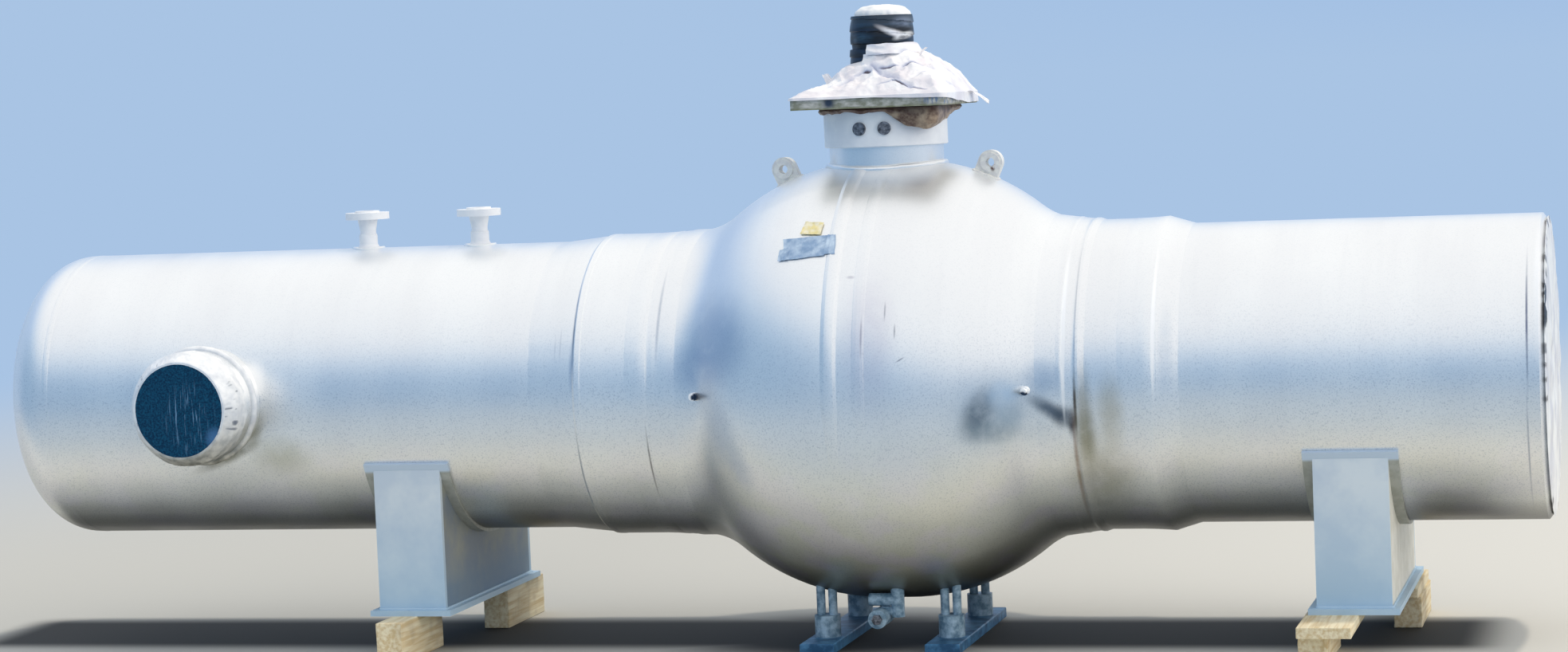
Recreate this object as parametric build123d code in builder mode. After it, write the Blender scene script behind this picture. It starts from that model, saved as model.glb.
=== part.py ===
from build123d import *
import math
import os

# Pig launcher with a fully welded ball valve, in mm.
# X runs along the pipe towards the line end, Z is up and the floor is Z = 0.
# The origin is on the floor, under the middle of the overall length.

# Pipe, barrels and dished head
pipe_radius = 533.4
barrel_wall = 25.4
head_crown_radius = 960.0
head_knuckle_radius = 181.5
head_flange_length = 18.0
launch_barrel_length = 2040.0
line_barrel_length = 1243.0
weld_land = 2.5
weld_bevel_angle = 37.5

# Transition pups between the barrels and the valve body
pup_radius = 556.0
pup_length = 338.0
pup_taper_length = 58.0

# Valve body
body_radius = 797.0
body_wall = 75.0
body_band_width = 100.0
body_half_length = 762.0
body_root_radius = 280.0
body_collar_radius = 561.0

# Clearance under the valve body, and depth of the saddles under the pipe
body_clearance = 148.0
saddle_drop = 261.6

# Valve neck, bonnet and square actuator flange
neck_radius = 207.5
neck_stand = 52.0
bonnet_radius = 224.5
bonnet_height = 141.0
bonnet_chamfer = 3.0
bonnet_plug_radius = 24.0
bonnet_plug_stand = 9.0
bonnet_plug_height = 66.0
bonnet_plug_angle = 11.6
flange_side = 570.0
flange_thickness = 40.0
flange_corner_radius = 18.0
stem_radius = 114.0
stem_height = 290.0
stem_cap_radius = 100.0
stem_cap_height = 42.0
stem_cap_rim = 14.0

# Film round the stem and the loose film under the flange
film_height = 185.0
film_top_side = 260.0
film_waist_height = 78.0
film_waist_side = 372.0
bag_width = 210.0
bag_depth = 62.0
bag_drop = 88.0
bag_offset = 183.0
bag_edge_inset = 4.0

# How far the film's corners are rounded, as a share of half its side
film_base_round_share = 0.25
film_waist_round_share = 0.67
film_top_round_share = 0.98

# Share of the drop, and of the full width, at each section of the loose film
bag_sections = ((0.0, 1.0), (0.45, 0.9), (0.8, 0.6), (1.0, 0.2))

# Lifting lugs
lug_offset = 385.0
lug_stand = 48.0
lug_radius = 44.0
lug_hole_radius = 16.0
lug_thickness = 40.0
lug_cheek_radius = 35.0
lug_cheek_thickness = 6.0

# Grease fittings on the valve body
fitting_offset = 595.0
fitting_boss_radius = 15.0
fitting_stand = 21.0
fitting_tip_radius = 9.0
fitting_tip_length = 20.0

# Kicker nozzle
kicker_from_weld = 664.0
kicker_radius = 203.2
kicker_wall = 45.0
kicker_reach = 788.0
kicker_land = 10.0
kicker_bevel_length = 40.0
kicker_cover_radius = 166.0
kicker_cover_thickness = 7.0
kicker_cover_round = 2.3

# Vent nozzles, 2 inch class 600 weld neck flanges on branch fittings
vent_pitch = 447.0
vent_from_weld = 480.0
vent_bore_radius = 24.6
branch_bore_radius = 27.0
branch_radius = 34.5
branch_foot_radius = 58.0
branch_foot_height = 16.0
branch_height = 52.0
branch_bevel = 5.0
branch_flare_slope = 0.15
vent_hub_radius = 38.0
vent_pipe_radius = 30.2
vent_hub_length = 57.0
vent_hub_straight = 14.0
vent_flange_radius = 82.5
vent_flange_thickness = 25.4
vent_face_radius = 46.0
vent_face_height = 6.4
vent_bolt_circle = 127.0
vent_bolt_hole_radius = 9.5
vent_bolt_count = 8

# Saddles
left_saddle_from_weld = 635.0
right_saddle_from_weld = 585.0
wear_plate_width = 325.0
wear_plate_thickness = 12.7
wear_plate_half_angle = 64.0
saddle_width = 256.0
saddle_depth = 960.0
saddle_plate_thickness = 20.0
web_thickness = 16.0
base_plate_width = 310.0
base_plate_depth = 1020.0
base_plate_thickness = 20.0

# Valve feet
foot_bar_offset = 229.0
foot_bar_width = 126.0
foot_bar_length = 850.0
foot_bar_thickness = 35.0
foot_bar_chamfer = 3.5
leg_offset = 229.0
leg_spread = 500.0
leg_prong_radius = 16.0
leg_prong_offset = 22.0
leg_collar_radius = 47.0
leg_collar_height = 79.0

# Drain fittings under the front of the body
drain_offset = 48.0
drain_front = 310.0
drain_riser_radius = 24.0
drain_riser_length = 95.0
drain_arm_radius = 23.0
drain_arm_length = 103.0
drain_arm_drop = 33.0
drain_body_radius = 34.0
drain_body_shift = 60.0
drain_body_front = 75.0
drain_body_back = 55.0
drain_body_drop = 94.0
drain_link_radius = 18.0
drain_link_drop = 75.0
drain_plug_radius = 19.0
drain_plug_length = 16.0

# Squared timbers that carry the saddles
timber_width = 100.0
timber_length = 420.0
board_thickness = 38.0
board_width = 184.0
board_length = 470.0
timber_overhang = 165.0
board_overhang = 268.0
left_front_timber_shift = -22.0
left_rear_timber_shift = 95.0
right_timber_shift = -124.0
right_board_shift = -75.0
rear_overhang = 60.0

# Line end cover
cover_radius = 522.0
cover_thickness = 46.0
cover_crown_radius = 430.0
cover_rim_length = 12.0

# Running gap between a curved seat and what stands on it
seat_gap = 0.3

# Nearness at which a sketch corner counts as the one that is looked for
corner_tolerance = 0.01

# The crown arc runs into the knuckle arc at head_turn degrees above the pipe axis
knuckle_offset = pipe_radius - head_knuckle_radius
head_reach = math.sqrt((head_crown_radius - head_knuckle_radius) ** 2 - knuckle_offset**2)
head_turn = math.degrees(math.atan2(knuckle_offset, head_reach))
head_depth = head_crown_radius - head_reach

# Places worked out along the pipe, from the head to the line end
overall_length = (head_depth + head_flange_length + launch_barrel_length + 2 * pup_length
                  + 2 * body_half_length + line_barrel_length + cover_thickness)
head_weld_x = -overall_length / 2 + head_depth + head_flange_length
launch_weld_x = head_weld_x + launch_barrel_length
left_body_x = launch_weld_x + pup_length
valve_x = left_body_x + body_half_length
right_body_x = valve_x + body_half_length
line_weld_x = right_body_x + pup_length
line_end_x = line_weld_x + line_barrel_length
kicker_x = head_weld_x + kicker_from_weld
vent_xs = [launch_weld_x - vent_from_weld - vent_pitch, launch_weld_x - vent_from_weld]
left_saddle_x = launch_weld_x - left_saddle_from_weld
right_saddle_x = line_weld_x + right_saddle_from_weld

# Heights and radii that follow from the sizes above
half_band = body_band_width / 2
axis_height = body_radius + body_clearance
saddle_height = pipe_radius + saddle_drop
pipe_bore = pipe_radius - barrel_wall
pipe_axis = Axis((0, 0, axis_height), (1, 0, 0))
neck_top_z = axis_height + body_radius + neck_stand
flange_bottom_z = neck_top_z + bonnet_height
flange_top_z = flange_bottom_z + flange_thickness
stem_top_z = flange_top_z + stem_height
pipe_top_z = axis_height + pipe_radius
base_bottom_z = axis_height - saddle_height
base_top_z = base_bottom_z + base_plate_thickness
wear_inner_radius = pipe_radius + seat_gap
wear_outer_radius = wear_inner_radius + wear_plate_thickness
saddle_seat_radius = wear_outer_radius + seat_gap
drain_seat_z = axis_height - math.sqrt(body_radius**2 - drain_front**2)
root_center_radius = body_collar_radius + body_root_radius
root_reach = math.sqrt((body_radius + body_root_radius) ** 2 - root_center_radius**2)
root_center_x = half_band + root_reach
root_start_x = half_band + root_reach * body_radius / (body_radius + body_root_radius)
if fitting_offset < root_start_x:
    fitting_seat = math.sqrt(body_radius**2 - (fitting_offset - half_band) ** 2)
elif fitting_offset < root_center_x:
    root_drop = math.sqrt(body_root_radius**2 - (root_center_x - fitting_offset) ** 2)
    fitting_seat = root_center_radius - root_drop
else:
    fitting_seat = body_collar_radius
fitting_reach = fitting_seat + fitting_stand
kicker_root = math.sqrt(pipe_bore**2 - kicker_radius**2)


def profile_plane(x):
    """Upright plane through the pipe axis: local x along the pipe, local y up."""
    return Plane(origin=(x, 0, axis_height), x_dir=(1, 0, 0), z_dir=(0, -1, 0))


def upright_plane(x, z):
    """Plane for profiles turned about the upright line at x over the pipe axis."""
    return Plane(origin=(x, 0, z), x_dir=(1, 0, 0), z_dir=(0, -1, 0))


def save(piece, name):
    piece.part.label = name
    export_step(piece.part, f"parts/{name}.step")


os.makedirs("parts", exist_ok=True)

# Dished head, near enough two to one, with a short straight flange
with BuildPart() as barrel_head:
    with BuildSketch(profile_plane(head_weld_x)):
        crown_x = -head_flange_length
        tip_x = crown_x - head_depth
        with BuildLine():
            for wall in (0, barrel_wall):
                knuckle_center = (crown_x, knuckle_offset)
                CenterArc(knuckle_center, head_knuckle_radius - wall, 90, 90 - head_turn)
                crown_center = (crown_x + head_reach, 0)
                CenterArc(crown_center, head_crown_radius - wall, 180 - head_turn, head_turn)
            Line((tip_x, 0), (tip_x + barrel_wall, 0))
            Polyline((crown_x, pipe_radius), (0, pipe_radius), (0, pipe_bore), (crown_x, pipe_bore))
        make_face()
    revolve(axis=pipe_axis)
save(barrel_head, "barrel_head")

# Launch barrel, with its holes under the kicker and vent nozzles
with BuildPart() as launch_barrel:
    with BuildSketch(Plane.YZ.offset(head_weld_x)):
        with Locations((0, axis_height)):
            Circle(pipe_radius)
            Circle(pipe_bore, mode=Mode.SUBTRACT)
    extrude(amount=launch_barrel_length)
    with BuildSketch(Plane.XZ):
        with Locations((kicker_x, axis_height)):
            Circle(kicker_radius - kicker_wall)
    extrude(amount=pipe_radius, mode=Mode.SUBTRACT)
    with BuildSketch(Plane.XY.offset(axis_height)):
        with Locations(*[(x, 0) for x in vent_xs]):
            Circle(branch_bore_radius)
    extrude(amount=pipe_radius, mode=Mode.SUBTRACT)
save(launch_barrel, "launch_barrel")

# Thicker pups, tapered down to the barrels at their outer welds
for name, body_x, side in (("left_pup", left_body_x, -1), ("right_pup", right_body_x, 1)):
    with BuildPart() as pup:
        with BuildSketch(profile_plane(body_x)):
            with BuildLine():
                Polyline(
                    (0, pipe_bore),
                    (0, pup_radius),
                    (side * (pup_length - pup_taper_length), pup_radius),
                    (side * pup_length, pipe_radius),
                    (side * pup_length, pipe_bore),
                    close=True,
                )
            make_face()
        revolve(axis=pipe_axis)
    save(pup, name)

# Outside form of the valve body, a little larger, that trims what is welded to it
ball_radius = body_radius + seat_gap
collar_radius = body_collar_radius + seat_gap
with BuildPart() as body_envelope:
    for side in (-1, 1):
        with BuildSketch(profile_plane(valve_x)) as half_envelope:
            corner_x = half_band + math.sqrt(ball_radius**2 - collar_radius**2)
            with BuildLine():
                Polyline((side * half_band, ball_radius), (0, ball_radius), (0, 0))
                Polyline(
                    (0, 0),
                    (side * body_half_length, 0),
                    (side * body_half_length, collar_radius),
                    (side * corner_x, collar_radius),
                )
                RadiusArc(
                    (side * corner_x, collar_radius),
                    (side * half_band, ball_radius),
                    -side * ball_radius,
                )
            make_face()
            root = [
                v
                for v in half_envelope.vertices()
                if abs(abs(v.X) - corner_x) < corner_tolerance
            ]
            fillet(root, body_root_radius - seat_gap)
        revolve(axis=pipe_axis)

# Central band that carries the neck, between the two main body welds
with BuildPart() as body_band:
    with BuildSketch(Plane.YZ.offset(valve_x - half_band)):
        with Locations((0, axis_height)):
            Circle(body_radius)
            Circle(body_radius - body_wall, mode=Mode.SUBTRACT)
    extrude(amount=body_band_width)
save(body_band, "body_band")

# Forged closures: a sphere running into a collar with a wide root radius
cavity_radius = body_radius - body_wall
for name, side in (("left_body_closure", -1), ("right_body_closure", 1)):
    with BuildPart() as closure:
        with BuildSketch(profile_plane(valve_x)) as closure_section:
            corner_x = half_band + math.sqrt(body_radius**2 - body_collar_radius**2)
            bore_x = half_band + math.sqrt(cavity_radius**2 - pipe_bore**2)
            with BuildLine():
                RadiusArc(
                    (side * corner_x, body_collar_radius),
                    (side * half_band, body_radius),
                    -side * body_radius,
                )
                Line((side * half_band, body_radius), (side * half_band, cavity_radius))
                RadiusArc(
                    (side * half_band, cavity_radius),
                    (side * bore_x, pipe_bore),
                    side * cavity_radius,
                )
                Polyline(
                    (side * bore_x, pipe_bore),
                    (side * body_half_length, pipe_bore),
                    (side * body_half_length, body_collar_radius),
                    (side * corner_x, body_collar_radius),
                )
            make_face()
            root = [
                v
                for v in closure_section.vertices()
                if abs(abs(v.X) - corner_x) < corner_tolerance
            ]
            fillet(root, body_root_radius)
        revolve(axis=pipe_axis)
    save(closure, name)

# Line barrel with its end bevelled for welding
with BuildPart() as line_barrel:
    bevel_length = (barrel_wall - weld_land) * math.tan(math.radians(weld_bevel_angle))
    with BuildSketch(profile_plane(line_weld_x)):
        with BuildLine():
            Polyline(
                (0, pipe_bore),
                (0, pipe_radius),
                (line_barrel_length - bevel_length, pipe_radius),
                (line_barrel_length, pipe_bore + weld_land),
                (line_barrel_length, pipe_bore),
                close=True,
            )
        make_face()
    revolve(axis=pipe_axis)
save(line_barrel, "line_barrel")

# Crowned shipping cover on the line end
with BuildPart() as line_end_cover:
    with BuildSketch(profile_plane(line_end_x)):
        with BuildLine():
            Polyline(
                (cover_thickness, cover_crown_radius),
                (cover_thickness, 0),
                (0, 0),
                (0, cover_radius),
                (cover_rim_length, cover_radius),
            )
            EllipticalCenterArc(
                (cover_rim_length, cover_crown_radius),
                cover_thickness - cover_rim_length,
                cover_radius - cover_crown_radius,
                start_angle=0,
                arc_size=90,
            )
        make_face()
    revolve(axis=pipe_axis)
save(line_end_cover, "line_end_cover")

# Kicker nozzle, bevelled at its end and saddled onto the launch barrel
kicker_bore = kicker_radius - kicker_wall
with BuildPart() as barrel_envelope:
    with BuildSketch(Plane.YZ.offset(head_weld_x)):
        with Locations((0, axis_height)):
            Circle(pipe_radius + seat_gap)
    extrude(amount=launch_barrel_length)
with BuildPart() as kicker_nozzle:
    with BuildSketch(Plane(origin=(kicker_x, 0, axis_height), x_dir=(1, 0, 0), z_dir=(0, 0, 1))):
        with BuildLine():
            Polyline(
                (kicker_bore, -kicker_reach),
                (kicker_bore + kicker_land, -kicker_reach),
                (kicker_radius, -kicker_reach + kicker_bevel_length),
                (kicker_radius, -kicker_root),
                (kicker_bore, -kicker_root),
                close=True,
            )
        make_face()
    revolve(axis=Axis((kicker_x, 0, axis_height), (0, 1, 0)))
    add(barrel_envelope.part, mode=Mode.SUBTRACT)
save(kicker_nozzle, "kicker_nozzle")

with BuildPart() as kicker_cover:
    with BuildSketch(Plane.XZ.offset(kicker_reach)):
        with Locations((kicker_x, axis_height)):
            Circle(kicker_cover_radius)
    extrude(amount=kicker_cover_thickness)
    front_rim = kicker_cover.faces().sort_by(Axis.Y)[0].edges()
    fillet(front_rim, kicker_cover_round)
save(kicker_cover, "kicker_cover")

# Vent nozzles: a branch fitting on the barrel and a weld neck flange on top
for number, x in enumerate(vent_xs, start=1):
    with BuildPart() as branch:
        with BuildSketch(upright_plane(x, pipe_top_z)):
            with BuildLine():
                Polyline(
                    (branch_radius, branch_foot_height),
                    (branch_radius, branch_height - branch_bevel),
                    (vent_pipe_radius, branch_height),
                    (branch_bore_radius, branch_height),
                    (branch_bore_radius, -barrel_wall),
                    (branch_foot_radius, -barrel_wall),
                    (branch_foot_radius, 0),
                )
                TangentArc(
                    (branch_radius, branch_foot_height),
                    (branch_foot_radius, 0),
                    tangent=(branch_flare_slope, -1),
                )
            make_face()
        revolve(axis=Axis((x, 0, pipe_top_z), (0, 0, 1)))
        add(barrel_envelope.part, mode=Mode.SUBTRACT)
    save(branch, f"vent_branch_{number}")

    with BuildPart() as vent_flange:
        flange_foot = vent_hub_length
        flange_back = flange_foot + vent_flange_thickness
        face_top = flange_back + vent_face_height
        with BuildSketch(upright_plane(x, pipe_top_z + branch_height)):
            with BuildLine():
                Polyline(
                    (vent_bore_radius, 0),
                    (vent_pipe_radius, 0),
                    (vent_pipe_radius, vent_hub_straight),
                    (vent_hub_radius, flange_foot),
                    (vent_flange_radius, flange_foot),
                    (vent_flange_radius, flange_back),
                    (vent_face_radius, flange_back),
                    (vent_face_radius, face_top),
                    (vent_bore_radius, face_top),
                    close=True,
                )
            make_face()
        revolve(axis=Axis((x, 0, pipe_top_z), (0, 0, 1)))
        with BuildSketch(Plane.XY.offset(pipe_top_z + branch_height + flange_foot)):
            with Locations((x, 0)):
                half_step = 180 / vent_bolt_count
                with PolarLocations(vent_bolt_circle / 2, vent_bolt_count, start_angle=half_step):
                    Circle(vent_bolt_hole_radius)
        extrude(amount=vent_flange_thickness, mode=Mode.SUBTRACT)
    save(vent_flange, f"vent_flange_{number}")

# Welded neck that rises from the body to the bonnet
with BuildPart() as body_neck:
    with BuildSketch(Plane.XY.offset(axis_height + pup_radius)):
        with Locations((valve_x, 0)):
            Circle(neck_radius)
    extrude(amount=neck_top_z - axis_height - pup_radius)
    add(body_envelope.part, mode=Mode.SUBTRACT)
save(body_neck, "body_neck")

with BuildPart() as bonnet:
    with BuildSketch(Plane.XY.offset(neck_top_z)):
        with Locations((valve_x, 0)):
            Circle(bonnet_radius)
    extrude(amount=bonnet_height)
    chamfer(bonnet.faces().sort_by(Axis.Z)[0].edges(), bonnet_chamfer)
save(bonnet, "bonnet")

# Two sealant plugs on the front of the bonnet, in shallow spot faces
with BuildPart() as bonnet_plugs:
    for turn in (-bonnet_plug_angle, bonnet_plug_angle):
        out = Vector(math.sin(math.radians(turn)), -math.cos(math.radians(turn)), 0)
        bonnet_center = Vector(valve_x, 0, neck_top_z + bonnet_plug_height)
        spot = bonnet_center + out * (bonnet_radius - bonnet_plug_stand)
        plug_plane = Plane(origin=spot, x_dir=(0, 0, 1), z_dir=out)
        with BuildSketch(plug_plane):
            Circle(bonnet_plug_radius)
        extrude(amount=2 * bonnet_plug_stand)
    with BuildSketch(Plane.XY.offset(neck_top_z)):
        with Locations((valve_x, 0)):
            Circle(bonnet_radius + seat_gap)
    extrude(amount=bonnet_height, mode=Mode.SUBTRACT)
save(bonnet_plugs, "bonnet_plugs")

with BuildPart() as actuator_flange:
    with BuildSketch(Plane.XY.offset(flange_bottom_z)):
        with Locations((valve_x, 0)):
            RectangleRounded(flange_side, flange_side, flange_corner_radius)
    extrude(amount=flange_thickness)
save(actuator_flange, "actuator_flange")

with BuildPart() as stem_housing:
    with BuildSketch(Plane.XY.offset(flange_top_z)):
        with Locations((valve_x, 0)):
            Circle(stem_radius)
    extrude(amount=stem_height)
save(stem_housing, "stem_housing")

with BuildPart() as stem_cap:
    with BuildSketch(upright_plane(valve_x, stem_top_z)):
        with BuildLine():
            Polyline((0, stem_cap_height), (0, 0), (stem_cap_radius, 0), (stem_cap_radius, stem_cap_rim))
            TangentArc((0, stem_cap_height), (stem_cap_radius, stem_cap_rim), tangent=(1, 0))
        make_face()
    revolve(axis=Axis((valve_x, 0, stem_top_z), (0, 0, 1)))
save(stem_cap, "stem_cap")

# Film drawn from the square flange up round the stem
film_sections = (
    (0, flange_side, film_base_round_share),
    (film_waist_height, film_waist_side, film_waist_round_share),
    (film_height, film_top_side, film_top_round_share),
)
with BuildPart() as film_wrap:
    for height, side, rounding in film_sections:
        with BuildSketch(Plane.XY.offset(flange_top_z + height)):
            with Locations((valve_x, 0)):
                RectangleRounded(side, side, rounding * side / 2)
    loft(ruled=True)
    with BuildSketch(Plane.XY.offset(flange_top_z)):
        with Locations((valve_x, 0)):
            Circle(stem_radius + seat_gap)
    extrude(amount=film_height, mode=Mode.SUBTRACT)
save(film_wrap, "film_wrap")

# Loose film hanging under the front edge of the flange
bag_y = -flange_side / 2 + bag_edge_inset + bag_depth / 2
with BuildPart() as film_bag:
    for share, spread in bag_sections:
        with BuildSketch(Plane.XY.offset(flange_bottom_z - share * bag_drop)):
            with Locations((valve_x + bag_offset, bag_y)):
                Ellipse(spread * bag_width / 2, spread * bag_depth / 2)
    loft()
save(film_bag, "film_bag")

# Lifting lugs, square to the body where they stand
for name, side in (("left_lifting_lug", -1), ("right_lifting_lug", 1)):
    lean = math.asin((lug_offset - half_band) / (body_radius + lug_stand))
    lug_z = axis_height + (body_radius + lug_stand) * math.cos(lean)
    lug_plane = Plane(
        origin=(valve_x + side * lug_offset, 0, lug_z),
        x_dir=(math.cos(lean), 0, -side * math.sin(lean)),
        z_dir=(0, -1, 0),
    )
    with BuildPart() as lug:
        with BuildSketch(lug_plane):
            Circle(lug_radius)
            with Locations((0, -lug_radius)):
                Rectangle(2 * lug_radius, 2 * lug_radius)
        extrude(amount=lug_thickness / 2, both=True)
        with BuildSketch(lug_plane):
            Circle(lug_cheek_radius)
        extrude(amount=lug_thickness / 2 + lug_cheek_thickness, both=True)
        with BuildSketch(lug_plane):
            Circle(lug_hole_radius)
        extrude(amount=lug_thickness, both=True, mode=Mode.SUBTRACT)
        add(body_envelope.part, mode=Mode.SUBTRACT)
    save(lug, name)

# Grease fittings at mid height on the front of the body
for name, side in (("left_grease_fitting", -1), ("right_grease_fitting", 1)):
    with BuildPart() as fitting:
        with BuildSketch(Plane.XZ.offset(pup_radius)):
            with Locations((valve_x + side * fitting_offset, axis_height)):
                Circle(fitting_boss_radius)
        extrude(amount=fitting_reach - pup_radius)
        with BuildSketch(Plane.XZ.offset(fitting_reach)):
            with Locations((valve_x + side * fitting_offset, axis_height)):
                Circle(fitting_tip_radius)
        extrude(amount=fitting_tip_length)
        add(body_envelope.part, mode=Mode.SUBTRACT)
    save(fitting, name)

# Saddles: wear plate on the pipe, two webs and two end plates on a base plate
for name, x in (("left_saddle", left_saddle_x), ("right_saddle", right_saddle_x)):
    with BuildPart() as wear_plate:
        with BuildSketch(Plane.YZ.offset(x - wear_plate_width / 2)):
            with BuildLine():
                low = 270 - wear_plate_half_angle
                sweep_angle = 2 * wear_plate_half_angle
                inner = CenterArc((0, axis_height), wear_inner_radius, low, sweep_angle)
                outer = CenterArc((0, axis_height), wear_outer_radius, low, sweep_angle)
                Line(inner @ 0, outer @ 0)
                Line(inner @ 1, outer @ 1)
            make_face()
        extrude(amount=wear_plate_width)
    save(wear_plate, f"{name}_wear_plate")

    with BuildPart() as seat_envelope:
        with BuildSketch(Plane.YZ.offset(x - wear_plate_width / 2)):
            with Locations((0, axis_height)):
                Circle(saddle_seat_radius)
        extrude(amount=wear_plate_width)

    with BuildPart() as end_plates:
        with BuildSketch(Plane.XY.offset(base_top_z)):
            plate_y = (saddle_depth - saddle_plate_thickness) / 2
            with Locations((x, -plate_y), (x, plate_y)):
                Rectangle(saddle_width, saddle_plate_thickness)
        extrude(amount=axis_height - base_top_z)
        add(seat_envelope.part, mode=Mode.SUBTRACT)
    save(end_plates, f"{name}_end_plates")

    with BuildPart() as webs:
        with BuildSketch(Plane.XY.offset(base_top_z)):
            web_shift = (saddle_width - web_thickness) / 2
            with Locations((x - web_shift, 0), (x + web_shift, 0)):
                Rectangle(web_thickness, saddle_depth - 2 * saddle_plate_thickness)
        extrude(amount=axis_height - base_top_z)
        add(seat_envelope.part, mode=Mode.SUBTRACT)
    save(webs, f"{name}_webs")

    with BuildPart() as base_plate:
        with BuildSketch(Plane.XY.offset(base_bottom_z)):
            with Locations((x, 0)):
                Rectangle(base_plate_width, base_plate_depth)
        extrude(amount=base_plate_thickness)
    save(base_plate, f"{name}_base_plate")

# Valve feet: two bars across, each with two forked legs in collars
for name, side in (("left", -1), ("right", 1)):
    with BuildPart() as foot_bar:
        with BuildSketch(Plane.XY):
            with Locations((valve_x + side * foot_bar_offset, 0)):
                Rectangle(foot_bar_width, foot_bar_length)
        extrude(amount=foot_bar_thickness)
        chamfer(foot_bar.faces().sort_by(Axis.Z)[-1].edges(), foot_bar_chamfer)
    save(foot_bar, f"{name}_foot_bar")

    leg_places = [(valve_x + side * leg_offset, end * leg_spread / 2) for end in (-1, 1)]
    with BuildPart() as legs:
        with BuildSketch(Plane.XY.offset(foot_bar_thickness)):
            with Locations(*leg_places):
                Circle(leg_collar_radius)
        extrude(amount=leg_collar_height)
        with BuildSketch(Plane.XY.offset(foot_bar_thickness + leg_collar_height)):
            with Locations(*leg_places):
                with Locations((-leg_prong_offset, 0), (leg_prong_offset, 0)):
                    Circle(leg_prong_radius)
        extrude(amount=axis_height - pup_radius - foot_bar_thickness - leg_collar_height)
        add(body_envelope.part, mode=Mode.SUBTRACT)
    save(legs, f"{name}_legs")

# Drain riser with a side arm, a cross body linked to its foot, and a plug
riser_x = valve_x + drain_offset
drain_body_x = riser_x - drain_body_shift
with BuildPart() as drain_valve:
    with BuildSketch(Plane.XY.offset(drain_seat_z - drain_riser_length)):
        with Locations((riser_x, -drain_front)):
            Circle(drain_riser_radius)
    extrude(amount=drain_riser_length + body_wall)
    with BuildSketch(Plane.YZ.offset(riser_x - drain_arm_length)):
        with Locations((-drain_front, drain_seat_z - drain_arm_drop)):
            Circle(drain_arm_radius)
    extrude(amount=drain_arm_length)
    with BuildSketch(Plane.YZ.offset(drain_body_x)):
        with Locations((-drain_front, drain_seat_z - drain_link_drop)):
            Circle(drain_link_radius)
    extrude(amount=drain_body_shift)
    with BuildSketch(Plane.XZ.offset(drain_front - drain_body_back)):
        with Locations((drain_body_x, drain_seat_z - drain_body_drop)):
            Circle(drain_body_radius)
    extrude(amount=drain_body_front + drain_body_back)
    add(body_envelope.part, mode=Mode.SUBTRACT)
save(drain_valve, "drain_valve")

with BuildPart() as drain_plug:
    with BuildSketch(Plane.XZ.offset(drain_front + drain_body_front)):
        with Locations((drain_body_x, drain_seat_z - drain_body_drop)):
            RegularPolygon(drain_plug_radius, 6)
    extrude(amount=drain_plug_length)
save(drain_plug, "drain_plug")

# Timbers under the saddles: deep squared ones on the left, boards on baulks on the right
front_timber_y = -base_plate_depth / 2 - timber_overhang + timber_length / 2
rear_timber_y = base_plate_depth / 2 + rear_overhang - timber_length / 2
front_board_y = -base_plate_depth / 2 - board_overhang + board_length / 2
rear_board_y = base_plate_depth / 2 + rear_overhang - board_length / 2
with BuildPart() as left_timbers:
    with BuildSketch(Plane.XY):
        with Locations(
            (left_saddle_x + left_front_timber_shift, front_timber_y),
            (left_saddle_x + left_rear_timber_shift, rear_timber_y),
        ):
            Rectangle(timber_width, timber_length)
    extrude(amount=base_bottom_z)
save(left_timbers, "left_timbers")

with BuildPart() as right_timbers:
    with BuildSketch(Plane.XY):
        with Locations(
            (right_saddle_x + right_timber_shift, front_timber_y),
            (right_saddle_x - right_timber_shift, rear_timber_y),
        ):
            Rectangle(timber_width, timber_length)
    extrude(amount=base_bottom_z - board_thickness)
save(right_timbers, "right_timbers")

with BuildPart() as right_boards:
    with BuildSketch(Plane.XY.offset(base_bottom_z - board_thickness)):
        with Locations(
            (right_saddle_x + right_board_shift, front_board_y),
            (right_saddle_x - right_board_shift, rear_board_y),
        ):
            Rectangle(board_width, board_length)
    extrude(amount=board_thickness)
save(right_boards, "right_boards")
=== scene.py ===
import math
from functools import partial
import bpy
from mathutils import Matrix, Vector, noise


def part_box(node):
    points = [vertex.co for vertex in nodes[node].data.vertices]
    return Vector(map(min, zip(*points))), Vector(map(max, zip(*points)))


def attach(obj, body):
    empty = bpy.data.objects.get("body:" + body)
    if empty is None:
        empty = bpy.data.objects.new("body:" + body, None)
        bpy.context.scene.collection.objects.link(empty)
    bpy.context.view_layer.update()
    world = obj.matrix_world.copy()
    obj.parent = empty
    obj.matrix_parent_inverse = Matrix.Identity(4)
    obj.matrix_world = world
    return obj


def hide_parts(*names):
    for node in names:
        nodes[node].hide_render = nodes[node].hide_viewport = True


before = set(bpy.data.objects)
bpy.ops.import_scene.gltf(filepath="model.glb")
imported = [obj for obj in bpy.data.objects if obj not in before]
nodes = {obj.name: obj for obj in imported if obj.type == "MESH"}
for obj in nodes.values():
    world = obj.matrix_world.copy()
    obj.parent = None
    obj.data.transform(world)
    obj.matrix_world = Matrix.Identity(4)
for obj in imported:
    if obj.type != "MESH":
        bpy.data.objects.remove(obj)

# The start-up cube, lamp and camera go before anything is measured
for spare in ("Cube", "Light", "Camera"):
    if spare in bpy.data.objects:
        bpy.data.objects.remove(bpy.data.objects[spare], do_unlink=True)
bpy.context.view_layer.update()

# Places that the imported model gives, in metres
bandLow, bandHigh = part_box("body_band")
valveX = (bandLow.x + bandHigh.x) / 2
axisZ = (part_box("line_barrel")[0].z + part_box("line_barrel")[1].z) / 2
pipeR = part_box("line_barrel")[1].y
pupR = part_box("left_pup")[1].y
bodyR = bandHigh.y
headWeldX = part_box("launch_barrel")[0].x
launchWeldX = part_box("left_pup")[0].x
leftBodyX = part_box("left_pup")[1].x
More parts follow.
